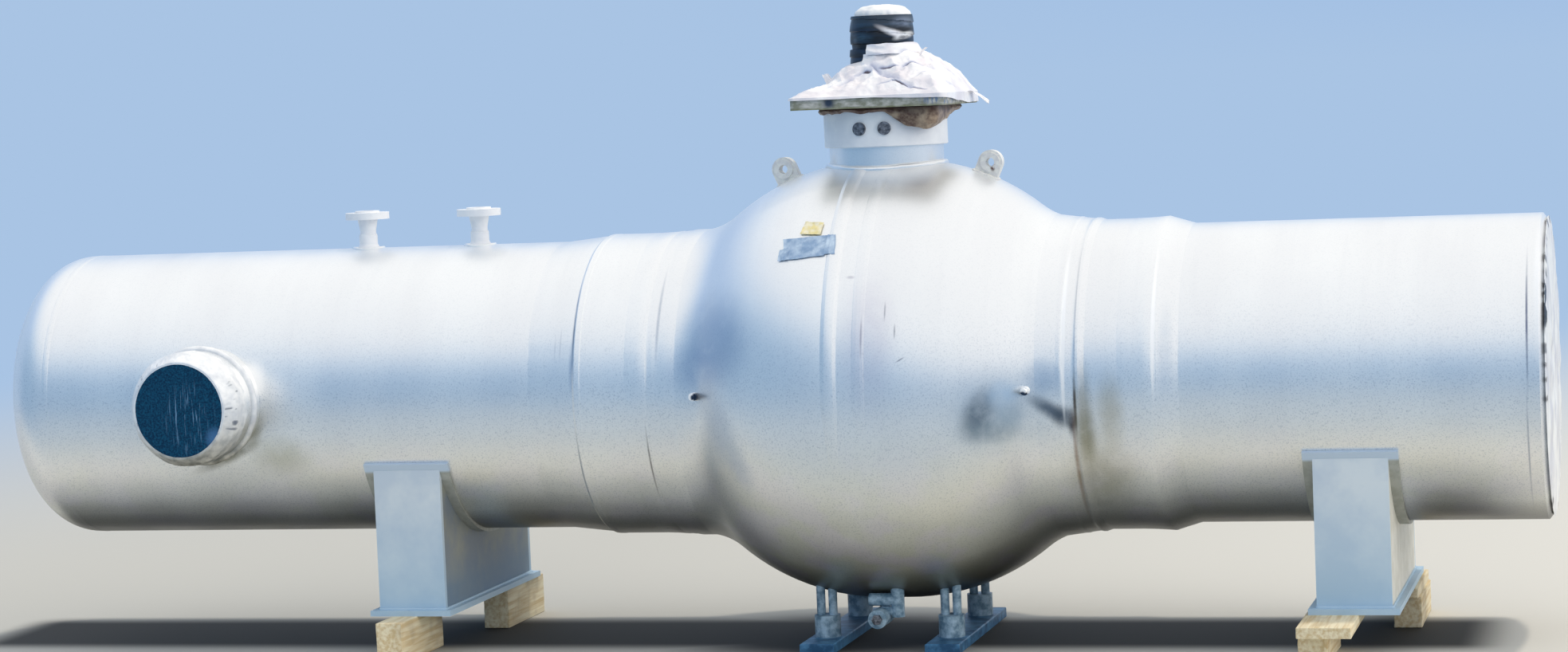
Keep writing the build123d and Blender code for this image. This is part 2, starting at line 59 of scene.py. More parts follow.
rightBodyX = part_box("right_pup")[0].x
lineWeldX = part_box("right_pup")[1].x
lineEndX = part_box("line_barrel")[1].x
plateLow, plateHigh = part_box("actuator_flange")
stemLow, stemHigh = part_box("stem_housing")
print("frame loaded, valve at", round(valveX, 4), "pipe axis at", round(axisZ, 4))


# Small tools

def hexColour(code):
    # sRGB hex to the linear values that sockets take
    parts = [int(code[i:i + 2], 16) / 255 for i in (1, 3, 5)]
    linear = [p / 12.92 if p <= 0.04045 else ((p + 0.055) / 1.055) ** 2.4 for p in parts]
    return (*linear, 1.0)


def setSockets(node, values):
    # An output of another node is linked to the socket; a number, place or hex code becomes its value
    for name, value in values.items():
        if isinstance(value, bpy.types.NodeSocket):
            node.id_data.links.new(value, node.inputs[name])
        else:
            node.inputs[name].default_value = hexColour(value) if isinstance(value, str) else value


def addNode(tree, kind, values, out=None):
    # One node with its properties, ramp stops and sockets; a Mix that uses socket 7 mixes colours
    node = tree.nodes.new("ShaderNode" + kind)
    if kind == "Mix" and 7 in values:
        node.data_type = "RGBA"
    for name, value in values.items():
        if name == "stops":
            ramp = node.color_ramp.elements
            for place, colour in value[2:]:
                ramp.new(place)
            for stop, (place, colour) in zip(ramp, sorted(value)):
                stop.position = place
                stop.color = hexColour(colour)
        elif isinstance(name, str) and hasattr(node, name):
            setattr(node, name, value)
        else:
            setSockets(node, {name: value})
    return node.outputs[out] if out else next(socket for socket in node.outputs if socket.enabled)


def startMaterial(name):
    # A new material, the call that adds nodes to it, its shader and the place on the object
    material = bpy.data.materials.new(name)
    material.use_nodes = True
    add = partial(addNode, material.node_tree)
    return material, add, material.node_tree.nodes["Principled BSDF"], add("TexCoord", {}, "Object")


def pickNone():
    if bpy.context.object and bpy.context.object.mode != "OBJECT":
        bpy.ops.object.mode_set(mode="OBJECT")
    bpy.ops.object.select_all(action="DESELECT")


def pickOnly(piece):
    pickNone()
    piece.select_set(True)
    bpy.context.view_layer.objects.active = piece


def useModifier(piece, kind, settings):
    pickOnly(piece)
    modifier = piece.modifiers.new(kind, kind)
    for name, value in settings.items():
        setattr(modifier, name, value)
    bpy.ops.object.modifier_apply(modifier=modifier.name)


def movePoints(piece, rule):
    for point in piece.data.vertices:
        point.co = rule(point.co)
    piece.data.update()


def facesOut(piece):
    pickOnly(piece)
    bpy.ops.object.mode_set(mode="EDIT")
    bpy.ops.mesh.select_all(action="SELECT")
    bpy.ops.mesh.remove_doubles(threshold=0.00005)
    bpy.ops.mesh.normals_make_consistent(inside=False)
    bpy.ops.object.mode_set(mode="OBJECT")


def finishPiece(piece, name, material, smooth=40):
    # Places go into the mesh, then the piece gets its name, finish and body
    pickOnly(piece)
    bpy.ops.object.transform_apply(location=True, rotation=True, scale=True)
    piece.name = name
    piece.data.name = name
    piece.data.materials.clear()
    piece.data.materials.append(material)
    bpy.ops.object.shade_smooth_by_angle(angle=math.radians(smooth))
    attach(piece, "root")
    return piece


def beadAlong(points, closed, radius):
    # A fillet weld: a round bevel along a line of points, turned into a mesh
    pickNone()
    line = bpy.data.curves.new("bead", "CURVE")
    line.dimensions = "3D"
    line.bevel_depth = radius
    line.bevel_resolution = 2
    line.use_fill_caps = not closed
    run = line.splines.new("POLY")
    run.points.add(len(points) - 1)
    for point, place in zip(run.points, points):
        point.co = (*place, 1.0)
    run.use_cyclic_u = closed
    piece = bpy.data.objects.new("bead", line)
    bpy.context.collection.objects.link(piece)
    pickOnly(piece)
    bpy.ops.object.convert(target="MESH")
    piece = bpy.context.object
    facesOut(piece)
    return piece


def joinPieces(parts):
    pickNone()
    for part in parts:
        part.select_set(True)
    bpy.context.view_layer.objects.active = parts[0]
    if len(parts) > 1:
        bpy.ops.object.join()
    return bpy.context.object


def sheetFrom(across, along, rule, wrap=False):
    # A flat grid whose points are moved to rule(u, v); a fourth value from the rule is kept as fold shade
    pickNone()
    bpy.ops.mesh.primitive_grid_add(x_subdivisions=across, y_subdivisions=along, size=1.0)
    piece = bpy.context.object
    shade = piece.data.attributes.new("foldShade", "FLOAT", "POINT")
    for point in piece.data.vertices:
        place = rule(point.co.x + 0.5, point.co.y + 0.5)
        shade.data[point.index].value = place[3] if len(place) > 3 else 0.0
        point.co = place[:3]
    piece.data.update()
    if wrap:
        bpy.ops.object.mode_set(mode="EDIT")
        bpy.ops.mesh.select_all(action="SELECT")
        bpy.ops.mesh.remove_doubles(threshold=0.00002)
        bpy.ops.object.mode_set(mode="OBJECT")
    return piece


def makeSheet(name, rule, cells, thick, material, offset=0.0, smooth=35, wrap=True):
    # A sheet that follows a rule, thickened, named and given its finish
    piece = sheetFrom(*cells, rule, wrap)
    facesOut(piece)
    useModifier(piece, "SOLIDIFY", {"thickness": thick, "offset": offset})
    return finishPiece(piece, name, material, smooth)


def rough(x, y, z, size):
    # Smooth noise from -1 to 1 whose lumps are about size metres across
    return noise.noise(Vector((x / size, y / size, z / size)))


def crumple(x, y, z, size):
    # Sharp creases between flat facets, as in film that has been screwed up
    return 1 - 2 * abs(rough(x, y, z, size))


def between(table, where):
    # Straight-line reading of a table of (place, value)
    if where <= table[0][0]:
        return table[0][1]
    for (x0, y0), (x1, y1) in zip(table, table[1:]):
        if where <= x1:
            return y0 + (y1 - y0) * (where - x0) / (x1 - x0)
    return table[-1][1]


def alongProfile(profile, where):
    # The same for rows of (place, first value, second value)
    return [between([(row[0], row[column]) for row in profile], where) for column in (1, 2)]


# Materials

def patchMask(add, source, centre, size, soft=0.5, tilt=0.0):
    # 1 in the middle of an egg-shaped place on the surface, falling to 0 at its edge
    moved = add("Mapping", {
        "vector_type": "TEXTURE", "Location": centre, "Rotation": (0.0, math.radians(tilt), 0.0),
        "Scale": size, "Vector": source,
    })
    away = add("VectorMath", {"operation": "LENGTH", 0: moved})
    return add("MapRange", {"interpolation_type": "SMOOTHSTEP", 0: away, 1: 1.0, 2: soft})


def mottled(add, where, grain, low, high, dull, pale):
    # Two tones shared out by noise; gives back the noise, the share of the pale tone and the colour
    cloud = add("TexNoise", {**grain, "Vector": where})
    tone = add("MapRange", {0: cloud, 1: low, 2: high})
    return cloud, tone, add("Mix", {0: tone, 6: dull, 7: pale})


# Aluminium flake paint, sprayed: a satin metal sheen that takes the sky and the ground, with fine sparkle,
# soft spray passes round the pipe, road dust low down, painted shade underneath, and stains, painted shade
# and painted highlights
aluminiumLook = {
    "pale": "#F9FAFA", "dull": "#F3F4F5", "fleck": "#C2C8D0", "olive": "#98966F", "mauve": "#A0949A",
    # The darkest tone is painted shade for the underside
    "underShade": "#26261F", "metallic": 0.76, "smoothest": 0.33, "roughest": 0.38,
}
# Stains, runs and dirt on the paint, and painted shade and reflections in seams and hollows: place along the
# pipe and height, half width and half height, tilt, colour, strength
stainsAndPaintedShade = (
    # Painted shade along the step by the left pup
    ("painted shade line by the left pup", -0.542, 1.19, 0.0055, 0.16, 0, "#5F6F88", 0.7),
    ("shade by the left pup", -0.545, 1.05, 0.012, 0.10, 0, "#86A0BE", 0.5),
    ("run on the launch barrel", -0.592, 1.13, 0.004, 0.060, 0, "#8A96AA", 0.3),
    ("run by it", -0.612, 1.12, 0.003, 0.050, 0, "#8A96AA", 0.25),
    # Painted shade in the left seam's crevice
    ("painted shade in the left seam crevice", -0.226, 1.22, 0.007, 0.16, 0, "#7488A6", 0.5),
    ("painted shade in the left seam crevice, low", -0.275, 0.70, 0.0042, 0.14, 0, "#5E5A60", 0.8),
    ("blue shade over the left root", 0.02, 1.15, 0.16, 0.16, 15, "#7398BE", 0.5),
    ("blue shade below it", -0.06, 1.04, 0.13, 0.10, 0, "#8CA6C8", 0.4),
    # Painted blue shade at the left root
    ("painted blue shade at the left root", 0.035, 0.82, 0.070, 0.16, -22, "#86A2C0", 0.4),
    ("painted blue shade at the left root, low", 0.100, 0.69, 0.050, 0.09, -22, "#92A8C2", 0.3),
    ("faint runs on the ball", 0.60, 1.13, 0.10, 0.26, 0, "#BDB6CC", 0.30),
    ("run on the ball", 0.580, 1.155, 0.004, 0.075, 0, "#8D8AA0", 0.6),
    ("short run on the ball", 0.660, 1.24, 0.0035, 0.032, 0, "#7F7D90", 0.6),
    ("shorter run on the ball", 0.6955, 1.17, 0.0035, 0.026, 0, "#6F6E80", 0.7),
    ("scuff on the ball", 0.531, 1.357, 0.016, 0.006, 0, "#A7A4B4", 0.5),
    ("scratch on the ball", 0.715, 1.075, 0.018, 0.003, -30, "#77788A", 0.7),
    # Painted reflections and shade in the right hollow round the fitting
    ("painted reflection in the right hollow, haze", 1.02, 0.87, 0.17, 0.15, 0, "#A5B8C8", 0.5),
    ("painted reflection in the right hollow, left lobe", 0.965, 0.880, 0.055, 0.095, 24, "#4A6072", 0.72),
    ("painted reflection in the right hollow, low lobe", 0.990, 0.812, 0.100, 0.050, 0, "#708694", 0.5),
    ("painted reflection in the right hollow, middle", 1.040, 0.935, 0.055, 0.055, 0, "#C4DCF0", 0.6),
    ("painted reflection in the right hollow, foot", 1.050, 0.860, 0.060, 0.055, 0, "#98B0C2", 0.45),
    ("painted reflection in the right hollow, upper blue", 1.170, 0.985, 0.075, 0.070, 0, "#93AEC8", 0.45),
    ("right band of shade", 1.195, 0.872, 0.095, 0.032, 33, "#3F566C", 0.85),
    ("right band of shade, end", 1.236, 0.848, 0.045, 0.044, 25, "#3A4A5C", 0.7),
    # Painted shade at the end of the band of shade, by the seam
    ("painted shade at the seam's end", 1.264, 0.825, 0.018, 0.055, 0, "#363640", 0.9),
    # Painted shade in the right seam's crevice
    ("painted shade in the right seam crevice", 1.2785, 1.20, 0.0036, 0.24, 0, "#6A7488", 0.35),
    ("painted shade in the right seam crevice, low", 1.277, 0.89, 0.007, 0.12, 0, "#3B2B28", 0.95),
    ("rust at the right seam", 1.268, 0.66, 0.009, 0.22, 0, "#84604A", 0.65),
    ("dirt right of the seam", 1.305, 0.84, 0.036, 0.19, 0, "#958C72", 0.6),
    ("dark dirt right of the seam", 1.312, 0.775, 0.040, 0.100, 0, "#757350", 0.5),
    ("dirt further right", 1.395, 0.86, 0.055, 0.14, 0, "#B4AB92", 0.5),
    ("dirt low on the right", 1.35, 0.62, 0.13, 0.15, 0, "#7D7C58", 0.5),
    ("shade past the line weld", 1.590, 1.06, 0.030, 0.16, 0, "#A9BFD6", 0.25),
    ("grinding line at the line end", 2.8035, 1.14, 0.0045, 0.23, 0, "#3D4F78", 0.9),
    ("grinding line, low", 2.799, 0.70, 0.004, 0.22, 0, "#77809A", 0.6),
    # Dirt and painted shade under the kicker
    ("dirt and painted shade under the kicker", -1.915, 0.742, 0.150, 0.026, -22, "#5F5E44", 0.85),
    ("dirt right of the kicker", -1.790, 0.850, 0.035, 0.090, 12, "#8F8C72", 0.6),
    ("dirt low by the kicker", -1.70, 0.74, 0.13, 0.08, 0, "#A3A488", 0.45),
)
# Painted highlights on weld ridges and a shoulder, and white patches, all white paint without flake: place,
# half size and strength
highlightsAndWhitePatches = (
    # The first three are painted highlights
    ("painted highlight on the ridge left of the right seam", 1.2385, 1.13, 0.0085, 0.34, 0.85),
    ("painted highlight on the shoulder by the line weld", 1.5488, 1.16, 0.0065, 0.28, 0.85),
    ("painted highlight on the ridge at the left seam", -0.2635, 1.10, 0.0045, 0.13, 0.7),
    ("white patch by the kicker", -1.780, 1.03, 0.055, 0.085, 0.75),
    ("white patch by the line end", 2.838, 1.23, 0.014, 0.26, 0.5),
)
aluminiumPaint, add, shader, where = startMaterial("sprayed aluminium flake paint")
cloud = add("TexNoise", {"Scale": 1.9, "Detail": 4.0, "Vector": where})
# Spray passes are about 180 mm wide and rain runs about 30 mm apart
passWay = add("Mapping", {"Scale": (5.5, 0.6, 0.6), "Vector": where})
passes = add("TexNoise", {"Scale": 1.0, "Detail": 2.0, "Vector": passWay})
runWay = add("Mapping", {"Scale": (30.0, 2.2, 2.2), "Vector": where})
runs = add("TexNoise", {"Scale": 1.0, "Detail": 2.0, "Vector": runWay})
# Real flake is too fine to show, so it is drawn at about 5 mm
flake = add("TexNoise", {"Scale": 190.0, "Detail": 2.0, "Roughness": 0.7, "Vector": where})
both = add("Math", {"operation": "ADD", 0: cloud, 1: passes})
tone = add("MapRange", {0: both, 1: 0.8, 2: 1.2})
colour = add("Mix", {0: tone, 6: aluminiumLook["dull"], 7: aluminiumLook["pale"]})
runTone = add("MapRange", {0: runs, 1: 0.55, 2: 0.75, 4: 0.03})
colour = add("Mix", {0: runTone, 6: colour, 7: "#AEB4C0"})
height = add("SeparateXYZ", {0: where}, "Z")
fleckShare = add("MapRange", {0: height, 1: 1.25, 2: 0.95, 3: 0.15, 4: 0.65})
fleck = add("MapRange", {0: flake, 1: 0.52, 2: 0.68, 4: fleckShare})
colour = add("Mix", {0: fleck, 6: colour, 7: aluminiumLook["fleck"]})
lowDown = add("MapRange", {0: height, 1: 0.84, 2: 0.26, 4: 0.66})
patchy = add("MapRange", {0: cloud, 1: 0.32, 2: 0.6, 3: 0.45, 4: 1.0})
dusty = add("Math", {"operation": "MULTIPLY", 0: lowDown, 1: patchy})
# Splashes of dust are about 150 mm across, some olive and some mauve
splash = add("TexNoise", {"Scale": 6.5, "Detail": 3.0, "Vector": where})
splashTone = add("MapRange", {0: splash, 1: 0.46, 2: 0.60})
dustTone = add("Mix", {0: splashTone, 6: aluminiumLook["olive"], 7: aluminiumLook["mauve"]})
colour = add("Mix", {0: dusty, 6: colour, 7: dustTone})
# Underneath, the paint is darkened towards black: painted shade, for the shadowed ground that the metal
# mirrors there
fromAxis = add("Mapping", {"Location": (0.0, 0.0, -axisZ), "Scale": (0.0, 1.0, 1.0), "Vector": where})
outward = add("VectorMath", {"operation": "NORMALIZE", 0: fromAxis})
facing = add("SeparateXYZ", {0: outward}, "Z")
bellyShade = add("MapRange", {0: facing, 1: -0.80, 2: -0.97, 4: 0.85})
# It fades out towards the middle of the dished head
offAxis = add("VectorMath", {"operation": "LENGTH", 0: fromAxis})
rimward = add("MapRange", {"interpolation_type": "SMOOTHSTEP", 0: offAxis, 1: 0.34, 2: 0.53})
bellyShade = add("Math", {"operation": "MULTIPLY", 0: bellyShade, 1: rimward})
colour = add("Mix", {0: bellyShade, 6: colour, 7: aluminiumLook["underShade"]})
breakUp = add("TexNoise", {"Scale": 16.0, "Detail": 4.0, "Vector": where})
worn = add("MapRange", {0: breakUp, 1: 0.30, 2: 0.52, 3: 0.68, 4: 1.0})
# Every mark, stain and painted shade alike, is broken up by the same noise
for markName, x, z, halfWide, halfHigh, tilt, code, strength in stainsAndPaintedShade:
    spot = patchMask(add, where, (x, -0.75, z), (halfWide * 1.3, 1.3, halfHigh * 1.3), 0.15, tilt)
    strong = add("Math", {"operation": "MULTIPLY", 0: spot, 1: strength})
    strong = add("Math", {"operation": "MULTIPLY", 0: strong, 1: worn})
    colour = add("Mix", {0: strong, 6: colour, 7: code})
metal = aluminiumLook["metallic"]
# Painted highlights: white and not metallic, so they stay bright whatever the metal mirrors
for markName, x, z, halfWide, halfHigh, strength in highlightsAndWhitePatches:
    spot = patchMask(add, where, (x, -0.75, z), (halfWide * 1.2, 1.3, halfHigh * 1.1), 0.4)
    strong = add("Math", {"operation": "MULTIPLY", 0: spot, 1: strength})
    colour = add("Mix", {0: strong, 6: colour, 7: "#FFFFFF"})
    metal = add("Mix", {"data_type": "FLOAT", 0: strong, 2: metal, 3: 0.0})
satin = {0: passes, 1: 0.3, 2: 0.7, 3: aluminiumLook["smoothest"], 4: aluminiumLook["roughest"]}
setSockets(shader, {
    "Base Color": colour, "Metallic": metal, "Roughness": add("MapRange", satin),
    "Normal": add("Bump", {"Strength": 0.10, "Distance": 0.0015, "Height": flake}),
})

# Finishes that are a plain mottle of two tones: name of the finish, dull and pale tone, lumps per metre,
# roughness, metallic, bump strength and bump depth in metres
plainLooks = {
    # White epoxy top coat, brushed and sprayed: smooth and a little chalky
    "whitePaint": ("white epoxy paint", "#EEEFF2", "#FBFBFB", 9.0, 0.42, 0.0, 0.15, 0.001),
    # Pale blue-grey epoxy on the welded saddles: a soft low sheen with faint clouding
    "saddlePaint": ("blue-grey epoxy paint", "#CAD5DF", "#DEE5E8", 5.0, 0.5, 0.0, 0.15, 0.001),
    # Aluminium paint on the wear plates, darkened, with a paler blue-grey upper edge
    "wearPaint": ("darkened aluminium paint", "#A3A49B", "#B4B5AD", 30.0, 0.5, 0.3, 0.15, 0.001),
    # The saddle epoxy on the webs of the right saddle, paler and creamier: painted sunlight and warm bounce
    # from the right
    "sunlitWebPaint": ("epoxy paint with painted sunlight", "#D8D6C9", "#E8E6DB", 12.0, 0.5, 0.0, 0.15, 0.001),
    # The same epoxy on the webs of the left saddle, darker: painted shade under the pipe, and bluer near the
    # base: painted sky reflection
    "shadedWebPaint": ("epoxy paint with painted shade", "#7F8890", "#97988C", 6.0, 0.5, 0.0, 0.15, 0.001),
    # Blue enamel on the foot bars of the valve, worn and dusty
    "footPaint": ("blue enamel", "#1B4C72", "#5088B2", 16.0, 0.45, 0.0, 0.2, 0.001),
    # Pale grey-blue enamel on the valve's legs and the drain: clouded by dust
    "legPaint": ("grey-blue enamel", "#5C7C92", "#A6C0D2", 30.0, 0.45, 0.0, 0.2, 0.001),
    # Zinc-plated steel plugs, mottled by weather: dull metal with dark blotches
    "plugSteel": ("weathered zinc-plated steel", "#45474E", "#94949A", 70.0, 0.48, 0.8, 0.3, 0.001),
    # White woven polypropylene cap tied over the stem: soft, with slack wrinkles
    "capCloth": ("white woven cap cloth", "#EDEDEE", "#FBFAF6", 22.0, 0.6, 0.0, 0.4, 0.003),
    # Brown kraft-coloured film gathered under the flange: dull gloss, dark in its gathers, and darker just
    # under the plate: painted shade of the flange
    "kraftFilm": ("brown packing film", "#5A3F32", "#B29A80", 24.0, 0.45, 0.0, 0.5, 0.004),
    # Grey-blue cloth tape on the valve body: a fine weave, smudged
    "greyTape": ("grey-blue cloth tape", "#8AA5C4", "#C0D2E4", 24.0, 0.45, 0.0, 0.3, 0.001),
    # Yellow card tag, sun-bleached in places
    "tagCard": ("yellow tag card", "#E9D998", "#F2EAD0", 45.0, 0.6, 0.0, 0.2, 0.001),
}
# Tints that come in with height: where one starts, where it is full, its colour and strength
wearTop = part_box("left_saddle_wear_plate")[1].z
heightTints = {
    # Bluer towards the base: painted reflection of the blue sky
    "saddlePaint": (0.60, 0.20, "#8FBAD8", 0.6),
    "wearPaint": (wearTop - 0.040, wearTop - 0.030, "#C9D9EA", 1.0),
    # Painted sky reflection: bluer near the base
    "shadedWebPaint": (0.36, 0.24, "#5C7E9C", 0.7),
    # Painted shade: darker just under the plate
    "kraftFilm": (plateLow.z - 0.030, plateLow.z - 0.002, "#4A2A22", 0.85),
}
made = {}
for key, (title, dull, pale, scale, gloss, metal, bumpStrength, depth) in plainLooks.items():
    made[key], add, shader, where = startMaterial(title)
    grain = {"Scale": scale, "Detail": 4.0, "Roughness": 0.6}
    mottle, tone, colour = mottled(add, where, grain, 0.38, 0.62, dull, pale)
    if key in heightTints:
        start, full, code, strength = heightTints[key]
        height = add("SeparateXYZ", {0: where}, "Z")
        share = add("MapRange", {0: height, 1: start, 2: full, 4: strength})
        colour = add("Mix", {0: share, 6: colour, 7: code})
    setSockets(shader, {
        "Base Color": colour, "Roughness": gloss, "Metallic": metal,
        "Normal": add("Bump", {"Strength": bumpStrength, "Distance": depth, "Height": mottle}),
    })

# White epoxy on the lugs, with a rust streak beside the right hole: chipped paint over steel
lugPaint, add, shader, where = startMaterial("white epoxy paint, chipped")
grain = {"Scale": 60.0, "Detail": 4.0}
mottle, tone, colour = mottled(add, where, grain, 0.38, 0.62, "#E3E1DE", "#F2F1EA")
rightLow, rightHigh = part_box("right_lifting_lug")
spot = patchMask(add, where, (rightHigh.x - 0.034, rightLow.y, axisZ + 0.762), (0.013, 0.02, 0.026), 0.35)
chips = add("MapRange", {0: mottle, 1: 0.36, 2: 0.5})
rust = add("Math", {"operation": "MULTIPLY", 0: spot, 1: chips})
colour = add("Mix", {0: rust, 6: colour, 7: "#5A3420"})
setSockets(shader, {
    "Base Color": colour, "Roughness": 0.45,
    "Normal": add("Bump", {"Strength": 0.2, "Distance": 0.001, "Height": mottle}),
})

# The grease fittings in pure white for a painted glint, each with a dark side that is painted shade
fittingGlintAndShade, add, shader, where = startMaterial("white fitting, painted glint and shade")
colour = "#FFFFFF"
for nodeName, aside, down in (("left_grease_fitting", 0.9, 0.0), ("right_grease_fitting", -0.2, -0.9)):
    fitLow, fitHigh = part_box(nodeName)
    middle = (fitLow + fitHigh) / 2
    half = (fitHigh.x - fitLow.x) / 2
    spot = patchMask(add, where, (middle.x + aside * half, middle.y, middle.z + down * half),
                     (half * 1.2, 0.1, half * 1.2), 0.6)
    # Painted shade on one side of each fitting
    colour = add("Mix", {0: spot, 6: colour, 7: "#1D2E46"})
setSockets(shader, {"Base Color": colour, "Roughness": 0.3})

# Blue polythene sheet over the kicker bore: a dull plastic face with pale rain streaks
blueSheet, add, shader, where = startMaterial("blue polythene sheet")
grain = {"Scale": 150.0, "Detail": 2.0}
weave, tone, colour = mottled(add, where, grain, 0.38, 0.66, "#042F4C", "#10506F")
streakWay = add("Mapping", {"Scale": (190.0, 8.0, 11.0), "Vector": where})
streak = add("TexNoise", {"Scale": 1.0, "Detail": 3.0, "Vector": streakWay})
wet = add("MapRange", {0: streak, 1: 0.56, 2: 0.68, 4: 0.85})
kickerMiddle = (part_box("kicker_nozzle")[0].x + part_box("kicker_nozzle")[1].x) / 2
runMiddle = patchMask(add, where, (kickerMiddle + 0.04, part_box("kicker_nozzle")[0].y, axisZ - 0.03),
                      (0.12, 0.05, 0.16), 0.3)
wet = add("Math", {"operation": "MULTIPLY", 0: wet, 1: runMiddle})
colour = add("Mix", {0: wet, 6: colour, 7: "#86AED0"})
fadedSpot = patchMask(add, where, (kickerMiddle + 0.135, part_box("kicker_nozzle")[0].y, axisZ - 0.100),
                      (0.050, 0.05, 0.055), 0.2)
faded = add("Math", {"operation": "MULTIPLY", 0: fadedSpot, 1: 0.6})
colour = add("Mix", {0: faded, 6: colour, 7: "#5C8ABC"})
setSockets(shader, {
    "Base Color": colour, "Roughness": 0.55, "Specular IOR Level": 0.15,
    "Normal": add("Bump", {"Strength": 0.25, "Distance": 0.001, "Height": weave}),
})

# Silver-white cloth tape pressed over the kicker's bevel: creased and a little shiny, darker at its foot with
# dirt and painted shade, with dark dashes painted where it has lifted, for the shade under it
nozzleTape, add, shader, where = startMaterial("silver cloth tape")
grain = {"Scale": 26.0, "Detail": 4.0}
mottle, tone, colour = mottled(add, where, grain, 0.38, 0.62, "#DFE2E6", "#F4F5F6")
height = add("SeparateXYZ", {0: where}, "Z")
# Darker towards the bottom: dirt and painted shade together
footDirtAndShade = add("MapRange", {0: height, 1: axisZ - 0.03, 2: axisZ - 0.20, 4: 0.9})
dirtAndShadeTone = add("Mix", {0: tone, 6: "#6E6A58", 7: "#B9B2A2"})
colour = add("Mix", {0: footDirtAndShade, 6: colour, 7: dirtAndShadeTone})
foldShade = add("Attribute", {"attribute_name": "foldShade"}, "Fac")
colour = add("Mix", {0: foldShade, 6: colour, 7: "#46536A"})
setSockets(shader, {
    "Base Color": colour, "Roughness": 0.38, "Metallic": 0.15,
    "Normal": add("Bump", {"Strength": 0.35, "Distance": 0.003, "Height": mottle}),
})

# Dark blue-black pipe tape wound round the stem: glossy turns, smeared with pale sealing paste
darkTape, add, shader, where = startMaterial("dark pipe tape")
turnWay = add("Mapping", {"Scale": (6.0, 6.0, 55.0), "Vector": where})
grain = {"Scale": 1.0, "Detail": 3.0}
turns, tone, colour = mottled(add, turnWay, grain, 0.42, 0.66, "#050D18", "#182E47")
smearWay = add("Mapping", {"Scale": (13.0, 13.0, 46.0), "Rotation": (0.0, 0.35, 0.0), "Vector": where})
smearNoise = add("TexNoise", {"Scale": 1.0, "Detail": 4.0, "Vector": smearWay})
height = add("SeparateXYZ", {0: where}, "Z")
topTurn = add("MapRange", {0: height, 1: stemHigh.z - 0.05, 2: stemHigh.z - 0.035, 4: 0.25})
colour = add("Mix", {0: topTurn, 6: colour, 7: "#48667F"})
# The paste lies in a few overlapping strokes: place, height, half size, tilt, colour and strength
for x, z, halfWide, halfHigh, tilt, code, strength in (
        (0.105, 2.238, 0.050, 0.022, 0, "#8C9AB2", 0.6), (-0.055, 2.185, 0.050, 0.018, 0, "#3F6078", 0.5),
        (0.030, 2.217, 0.036, 0.009, 22, "#B9B3B4", 0.8), (0.068, 2.199, 0.050, 0.0125, 20, "#F4F2F4", 1.0),
        (0.100, 2.190, 0.040, 0.0115, -20, "#FFFFFF", 1.0)):
    size = (halfWide * 1.25, 0.16, halfHigh * 1.4)
    stroke = patchMask(add, where, (valveX + x, -0.10, z), size, 0.2, tilt)
    pasteTone = add("MapRange", {0: smearNoise, 1: 0.34, 2: 0.50, 4: strength})
    paste = add("Math", {"operation": "MULTIPLY", 0: stroke, 1: pasteTone})
    colour = add("Mix", {0: paste, 6: colour, 7: code})
setSockets(shader, {
    "Base Color": colour, "Roughness": 0.42,
    "Normal": add("Bump", {"Strength": 0.35, "Distance": 0.003, "Height": turns}),
})

# Clear stretch film in many layers: milky and glossy, lilac-grey to brown in its folds and creases: painted
# shade, read from the fold shade
wrapFilm, add, shader, where = startMaterial("milky stretch film")
grain = {"Scale": 13.0, "Detail": 5.0}
layers, tone, colour = mottled(add, where, grain, 0.38, 0.62, "#E8E3E7", "#FAF8F8")
folded = {"Scale": 45.0, "Detail": 4.0, "Roughness": 0.6, "Distortion": 0.6, "Vector": where}
crease = add("TexNoise", folded)
foldShade = add("Attribute", {"attribute_name": "foldShade"}, "Fac")
foldTone = add("ValToRGB", {"stops": ((0.0, "#B9C0DA"), (1.0, "#54464E"), (0.7, "#8593B8")), 0: foldShade})
colour = add("Mix", {0: foldShade, 6: colour, 7: foldTone})
setSockets(shader, {
    "Base Color": colour, "Roughness": 0.30, "IOR": 1.5,
    "Normal": add("Bump", {"Strength": 0.5, "Distance": 0.004, "Height": crease}),
})

# Grey-green primer on the sawn rim of the square flange: blotched, marked in blue crayon
rimPrimer, add, shader, where = startMaterial("grey-green zinc primer")
cloudWay = add("Mapping", {"Scale": (1.0, 1.0, 2.0), "Vector": where})
grain = {"Scale": 30.0, "Detail": 4.0}
cloud, tone, colour = mottled(add, cloudWay, grain, 0.36, 0.64, "#8E8E7C", "#CFCBC2")
scribbleWay = add("Mapping", {"Scale": (80.0, 80.0, 34.0), "Vector": where})
scribble = add("TexNoise", {"Scale": 1.0, "Detail": 5.0, "Vector": scribbleWay})
patch = patchMask(add, where, (plateLow.x + 0.146, plateLow.y, 1.957), (0.032, 0.03, 0.030), 0.2)
colour = add("Mix", {0: patch, 6: colour, 7: "#2B3C52"})
markSpot = patchMask(add, where, (plateHigh.x, plateLow.y, 1.958), (0.11, 0.36, 0.030), 0.45)
markTone = add("MapRange", {0: scribble, 1: 0.49, 2: 0.56})
marks = add("Math", {"operation": "MULTIPLY", 0: markSpot, 1: markTone})
colour = add("Mix", {0: marks, 6: colour, 7: "#7F8EA6"})
height = add("SeparateXYZ", {0: where}, "Z")
# Darker along the lower edge: painted shade of the film gathered under the plate
lowEdgeShade = add("MapRange", {0: height, 1: plateLow.z + 0.008, 2: plateLow.z + 0.003, 4: 0.5})
colour = add("Mix", {0: lowEdgeShade, 6: colour, 7: "#6E6F35"})
setSockets(shader, {
    "Base Color": colour, "Roughness": 0.6,
    "Normal": add("Bump", {"Strength": 0.3, "Distance": 0.001, "Height": cloud}),
})

